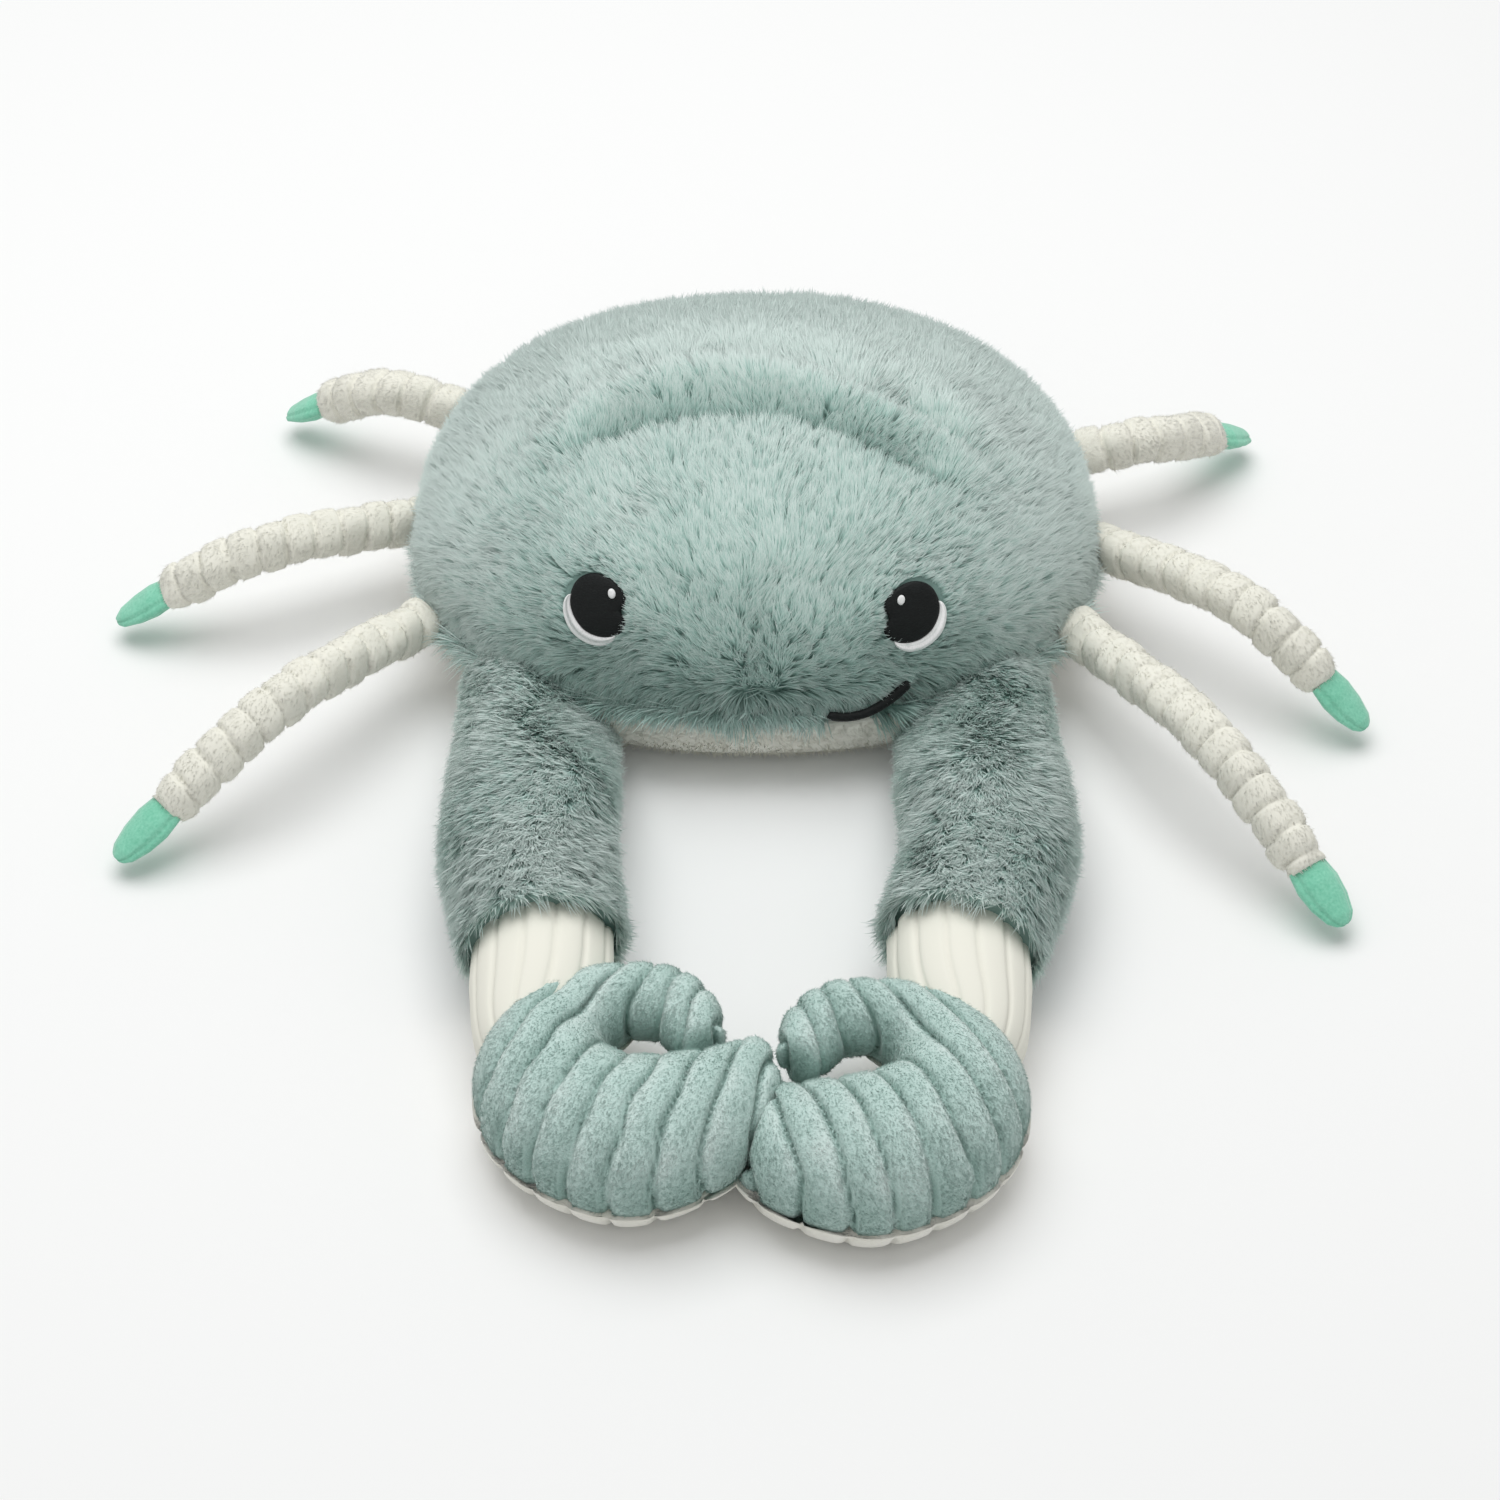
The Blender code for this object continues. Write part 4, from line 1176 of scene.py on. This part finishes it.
def make_legs():
    """The legs, in the same plain cream under their own pile, and their felt tips."""
    plain_cream = bpy.data.materials["cream_corduroy"]
    felt = felt_material("mint_felt", MINT_DARK, MINT)
    pile = short_pile_material("cream_pile", CREAM, CREAM, CREAM, 0.8)
    for name, path in LEG_PATHS.items():
        root, arch, end = (np.array(point) for point in path)
        inward = (root - arch) / np.linalg.norm(root - arch) * 0.008
        inward[2] = 0
        line = catmull([root + inward, root, arch, end], 200)
        length = np.linalg.norm(np.diff(line, axis=0), axis=1).sum()
        joint = int(199 * (1 - TIP_LENGTH / length))
        leg_line = catmull(line[np.linspace(0, joint + 1, 30).astype(int)], LEG_RINGS)
        travelled = np.linspace(0, length - TIP_LENGTH, LEG_RINGS)
        rng = np.random.default_rng(len(name) + int(abs(root[1]) * 1e4))
        wobble = rng.normal(0, 0.10, 40)
        shades = []

        def phase(number, angles):
            wale = travelled[number] / LEG_PITCH
            slant = LEG_SLANT * np.sin(angles + 0.6)
            return wale + slant * 0.6 + wobble[int(wale) % 40] * 0.3

        def swell(number, angles):
            position = phase(number, angles)
            puff = 0.0005 * np.sin(angles * 3 + wobble[int(position[0]) % 40] * 30)
            # Painted shade: the cloth darker in the grooves between the wales.
            shades.append(0.5 + 0.5 * wale_profile(position, 0.2))
            return LEG_GROOVE * (wale_profile(position, 0.1) - 0.9) + puff + 0.0006

        ending = rising(np.arange(LEG_RINGS), LEG_TAPER_START, LEG_RINGS - 1 - LEG_TAPER_START) ** 2
        narrowed = [LEG_RADIUS * (1 - share * ending) for share in LEG_TAPER]
        ob = tube("leg_" + name + "_cloth", np.column_stack([leg_line, *narrowed]), LEG_SIDES, swell)
        set_attribute(ob.data, "wale", np.concatenate(shades + [[0.5, 0.5]]))
        clothe(ob, plain_cream, ["leg_" + name])

        toward = leg_line[-1] - leg_line[0]

        def along_leg(points, toward=toward):
            return np.tile(toward, (len(points), 1)) + (0, 0, -0.02)

        fuzz("fuzz_leg_" + name, ob, LEG_FUZZ, along_leg, 71, 1.5 * MM, 0.42 * MM, pile,
             steep=0.9)
        make_tip(name, line[joint:], felt)


def make_tip(name, line, felt):
    """Flat felt tip with a stitched edge along its rim."""
    line = catmull(line[::4], TIP_RINGS)
    share = np.linspace(0, 1, TIP_RINGS)
    wide = np.interp(share, [0, 0.05, 0.3, 0.6, 0.87, 0.97, 1.0], [0.84, 0.88, 1.0, 0.9, 0.62, 0.34, 0.1])
    thick = np.interp(share, [0, 0.05, 0.3, 0.6, 0.87, 1.0], [0.84, 0.9, 1.0, 0.85, 0.6, 0.25])
    height = TIP_THICKNESS / 2 * thick
    line[:, 2] = np.maximum(line[:, 2], height + 0.0004)

    def swell(number, angles):
        flat = np.abs(np.cos(angles))
        rim = 0.0007 * np.exp(-(((flat - 0.995) / 0.02) ** 2))
        return rim - 0.0005 * np.exp(-(((flat - 0.90) / 0.035) ** 2))

    stations = [(*p, TIP_WIDTH / 2 * w, h) for p, w, h in zip(line, wide, height)]
    ob = tube("tip_" + name + "_felt", stations, TIP_SIDES, swell)
    clothe(ob, felt, ["tip_" + name])


def belly(name):
    """The belly panel, pressed flat on the floor and standing up steeply to the seam."""
    rings = [(0.0, 0.0), (0.5, 0.0), (BELLY_FLAT, 0.0)]
    for turn in np.linspace(0.1, 1.0, 9) * math.pi / 2:
        share = BELLY_FLAT + (0.975 - BELLY_FLAT) * math.sin(turn)
        rings.append((share, SEAM_HEIGHT * (1 - math.cos(turn))))
    rings.append((0.4, SEAM_HEIGHT))
    angles = np.linspace(0, 2 * math.pi, BELLY_SIDES, endpoint=False)
    points = []
    for share, height in rings:
        reach = outline_radius(angles) * max(share, 0.001)
        x = reach * np.cos(angles) + BODY_SHIFT
        points.append(np.column_stack([x, reach * np.sin(angles), np.full(BELLY_SIDES, height)]))
    faces = [(b, a, d, c) for a, b, c, d in ring_faces(len(rings), BELLY_SIDES)]
    faces.append([(len(rings) - 1) * BELLY_SIDES + i for i in reversed(range(BELLY_SIDES))])
    faces.append(list(range(BELLY_SIDES)))
    return closed_object(name, np.concatenate(points), faces)


def make_belly():
    plush = skin_material("cream_plush", CREAM_DARK, CREAM)
    pile = short_pile_material("cream_plush_pile", CREAM_DARK, CREAM, CREAM, 0.3)
    ob = belly("belly_cloth")
    clothe(ob, plush, ["belly_panel"])

    def outward(points):
        return np.column_stack([points[:, 0], points[:, 1], np.full(len(points), -0.02)])

    def rim_only(places, normals):
        return (places[:, 2] > 0.0025) & (normals[:, 2] < 0.6)

    fuzz("fuzz_belly", ob, BELLY_FUZZ, outward, 81, 2.6 * MM, 0.6 * MM, pile, mask=rim_only)


# Embroidery


def thread_patch(name, tree, rings, lifts):
    """Satin stitch on the face: rings of x and z from the edge inward, each raised by its own lift."""
    points = [on_front(tree, x, z, lift) for ring, lift in zip(rings, lifts) for x, z in ring]
    count = len(rings[0])
    faces = ring_faces(len(rings), count)
    faces.append([(len(rings) - 1) * count + i for i in range(count)])
    mesh = bpy.data.meshes.new(name)
    mesh.from_pydata([tuple(p) for p in points], [], faces)
    bm = bmesh.new()
    bm.from_mesh(mesh)
    bmesh.ops.recalc_face_normals(bm, faces=bm.faces)
    if sum(face.normal.y for face in bm.faces) > 0:
        bmesh.ops.reverse_faces(bm, faces=bm.faces)
    bm.to_mesh(mesh)
    bm.free()
    mesh.shade_smooth()
    return new_object(name, mesh)


def eye_edge(angle, reach=0.0, bite=0.0):
    """A point of the right eye's outline in that direction."""
    turned = math.remainder(angle - math.pi, 2 * math.pi)
    share = 1 - bite * math.exp(-((turned / 0.34) ** 2))
    x = (EYE_WIDTH / 2 + reach) * math.cos(angle) * share
    return x, (EYE_HEIGHT / 2 + reach) * math.sin(angle) * share


def black_outline(share):
    """The eye's bean shape at a share of its size."""
    edge = [eye_edge(2 * math.pi * i / EYE_STEPS, bite=EYE_BITE) for i in range(EYE_STEPS)]
    return [(x * share, z * share) for x, z in edge]


def white_outline(share):
    """The crescent's outer edge and back along its inner edge, drawn in to its middle line."""
    ring = []
    low, high = EYE_WHITE_ANGLES
    half = EYE_STEPS // 2
    for angle in np.radians(np.concatenate([np.linspace(low, high, half), np.linspace(high, low, half)])):
        along = (math.degrees(angle) - low) / (high - low)
        width = EYE_WHITE_WIDTH * math.sin(math.pi * along) ** 0.6
        reach = width / 2 * (1 + share if len(ring) < half else 1 - share) - 0.0003
        ring.append(eye_edge(angle, reach))
    return ring


def glint_outline(share):
    """An upright oval with a third of the eye's steps."""
    angles = [2 * math.pi * i / EYE_STEPS for i in range(0, EYE_STEPS, 3)]
    return [(GLINT_RADIUS * 0.9 * share * math.cos(a), GLINT_RADIUS * share * math.sin(a)) for a in angles]


def eye_patch(kind, side, tree, dome_shape, outline, thread, shift_x=0.0, rise=0.0):
    """One embroidered patch of an eye, from its outline at each share of the dome's shape."""
    rings = []
    for share, _ in dome_shape:
        ring = []
        for x, z in outline(share):
            ring.append((EYE_X[side] + SIDES[side] * x + shift_x, EYE_Z[side] + z + rise))
        rings.append(ring)
    ob = thread_patch(f"{kind}_{side}_thread", tree, rings, [height * MM for _, height in dome_shape])
    clothe(ob, thread, [f"{kind}_{side}"])


def make_embroidery():
    black = thread_material("black_thread", BLACK, "#161a1a", (1.0, 1.0, 6.0), 0.05)
    white = thread_material("white_thread", "#eeefee", "#ffffff", (6.0, 1.0, 1.0), 0.1)
    tree = surface_of(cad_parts["body"].data)
    for side in SIDES:
        eye_patch("eye_black", side, tree, EYE_BLACK_DOME, black_outline, black)
        eye_patch("eye_white", side, tree, EYE_WHITE_DOME, white_outline, white)
        eye_patch("eye_glint", side, tree, GLINT_DOME, glint_outline, white,
                  GLINT_SHIFT[side], GLINT_RISE)
    ob = cad_copy("mouth_thread", "mouth")
    subdivide(ob, 2)
    shift_along_normals(ob, MOUTH_THICKER)
    points, _, _ = read_mesh(ob.data)
    share = (points[:, 0] - points[:, 0].min()) / np.ptp(points[:, 0])
    points[:, 2] += mouth_raise(share)
    place_vertices(ob, points)
    clothe(ob, black, ["mouth"])


# Studio


def make_studio():
    scene = bpy.context.scene
    scene.view_settings.view_transform = "Standard"
    bpy.ops.mesh.primitive_plane_add(size=6.0, location=(0, 0, -0.0004))
    floor = bpy.context.object
    floor.name = "studio_floor"
    s = Shader("floor_paper")
    path = s.tree.nodes.new("ShaderNodeLightPath")
    seen = s.math("MAXIMUM", path.outputs["Is Camera Ray"], path.outputs["Is Glossy Ray"])
    colour = s.mix(seen, FLOOR_GREY, FLOOR_SEEN)
    floor.data.materials.append(s.finish(colour, 1.0))

    world = bpy.data.worlds.new("studio_world")
    scene.world = world
    world.use_nodes = True
    background = world.node_tree.nodes["Background"]
    background.inputs["Color"].default_value = (1.0, 1.0, 1.0, 1.0)
    path = world.node_tree.nodes.new("ShaderNodeLightPath")
    strength = world.node_tree.nodes.new("ShaderNodeMath")
    strength.operation = "MULTIPLY_ADD"
    strength.inputs[1].default_value = 1.0 - WORLD_STRENGTH
    strength.inputs[2].default_value = WORLD_STRENGTH
    world.node_tree.links.new(path.outputs["Is Camera Ray"], strength.inputs[0])
    world.node_tree.links.new(strength.outputs[0], background.inputs["Strength"])

    data = bpy.data.lights.new("top_light", "AREA")
    data.shape = "SQUARE"
    data.size = LAMP_SIZE
    data.energy = LAMP_POWER
    lamp = new_object("top_light", data)
    lamp.location = LAMP_PLACE
    lamp.rotation_euler = (Vector(LAMP_AIM) - Vector(LAMP_PLACE)).to_track_quat("-Z", "Y").to_euler()

    data = bpy.data.cameras.new("camera")
    data.angle = FIELD_OF_VIEW
    camera = new_object("camera", data)
    target = Vector(CAMERA_TARGET)
    aim = Vector((0, math.cos(CAMERA_ELEVATION), -math.sin(CAMERA_ELEVATION)))
    camera.location = target - aim * CAMERA_DISTANCE
    camera.rotation_euler = aim.to_track_quat("-Z", "Y").to_euler()
    scene.camera = camera


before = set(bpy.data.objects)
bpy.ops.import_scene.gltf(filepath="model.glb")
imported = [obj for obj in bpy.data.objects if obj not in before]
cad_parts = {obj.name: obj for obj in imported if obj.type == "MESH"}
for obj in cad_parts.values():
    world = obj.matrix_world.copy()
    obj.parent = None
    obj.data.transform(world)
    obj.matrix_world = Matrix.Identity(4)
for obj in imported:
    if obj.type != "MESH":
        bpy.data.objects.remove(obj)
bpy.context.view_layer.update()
make_studio()
fur_look, backing_look = make_body()
for arm in SIDES:
    make_sleeve(arm, fur_look, backing_look)
make_claws()
make_cuffs()
make_legs()
make_belly()
make_embroidery()
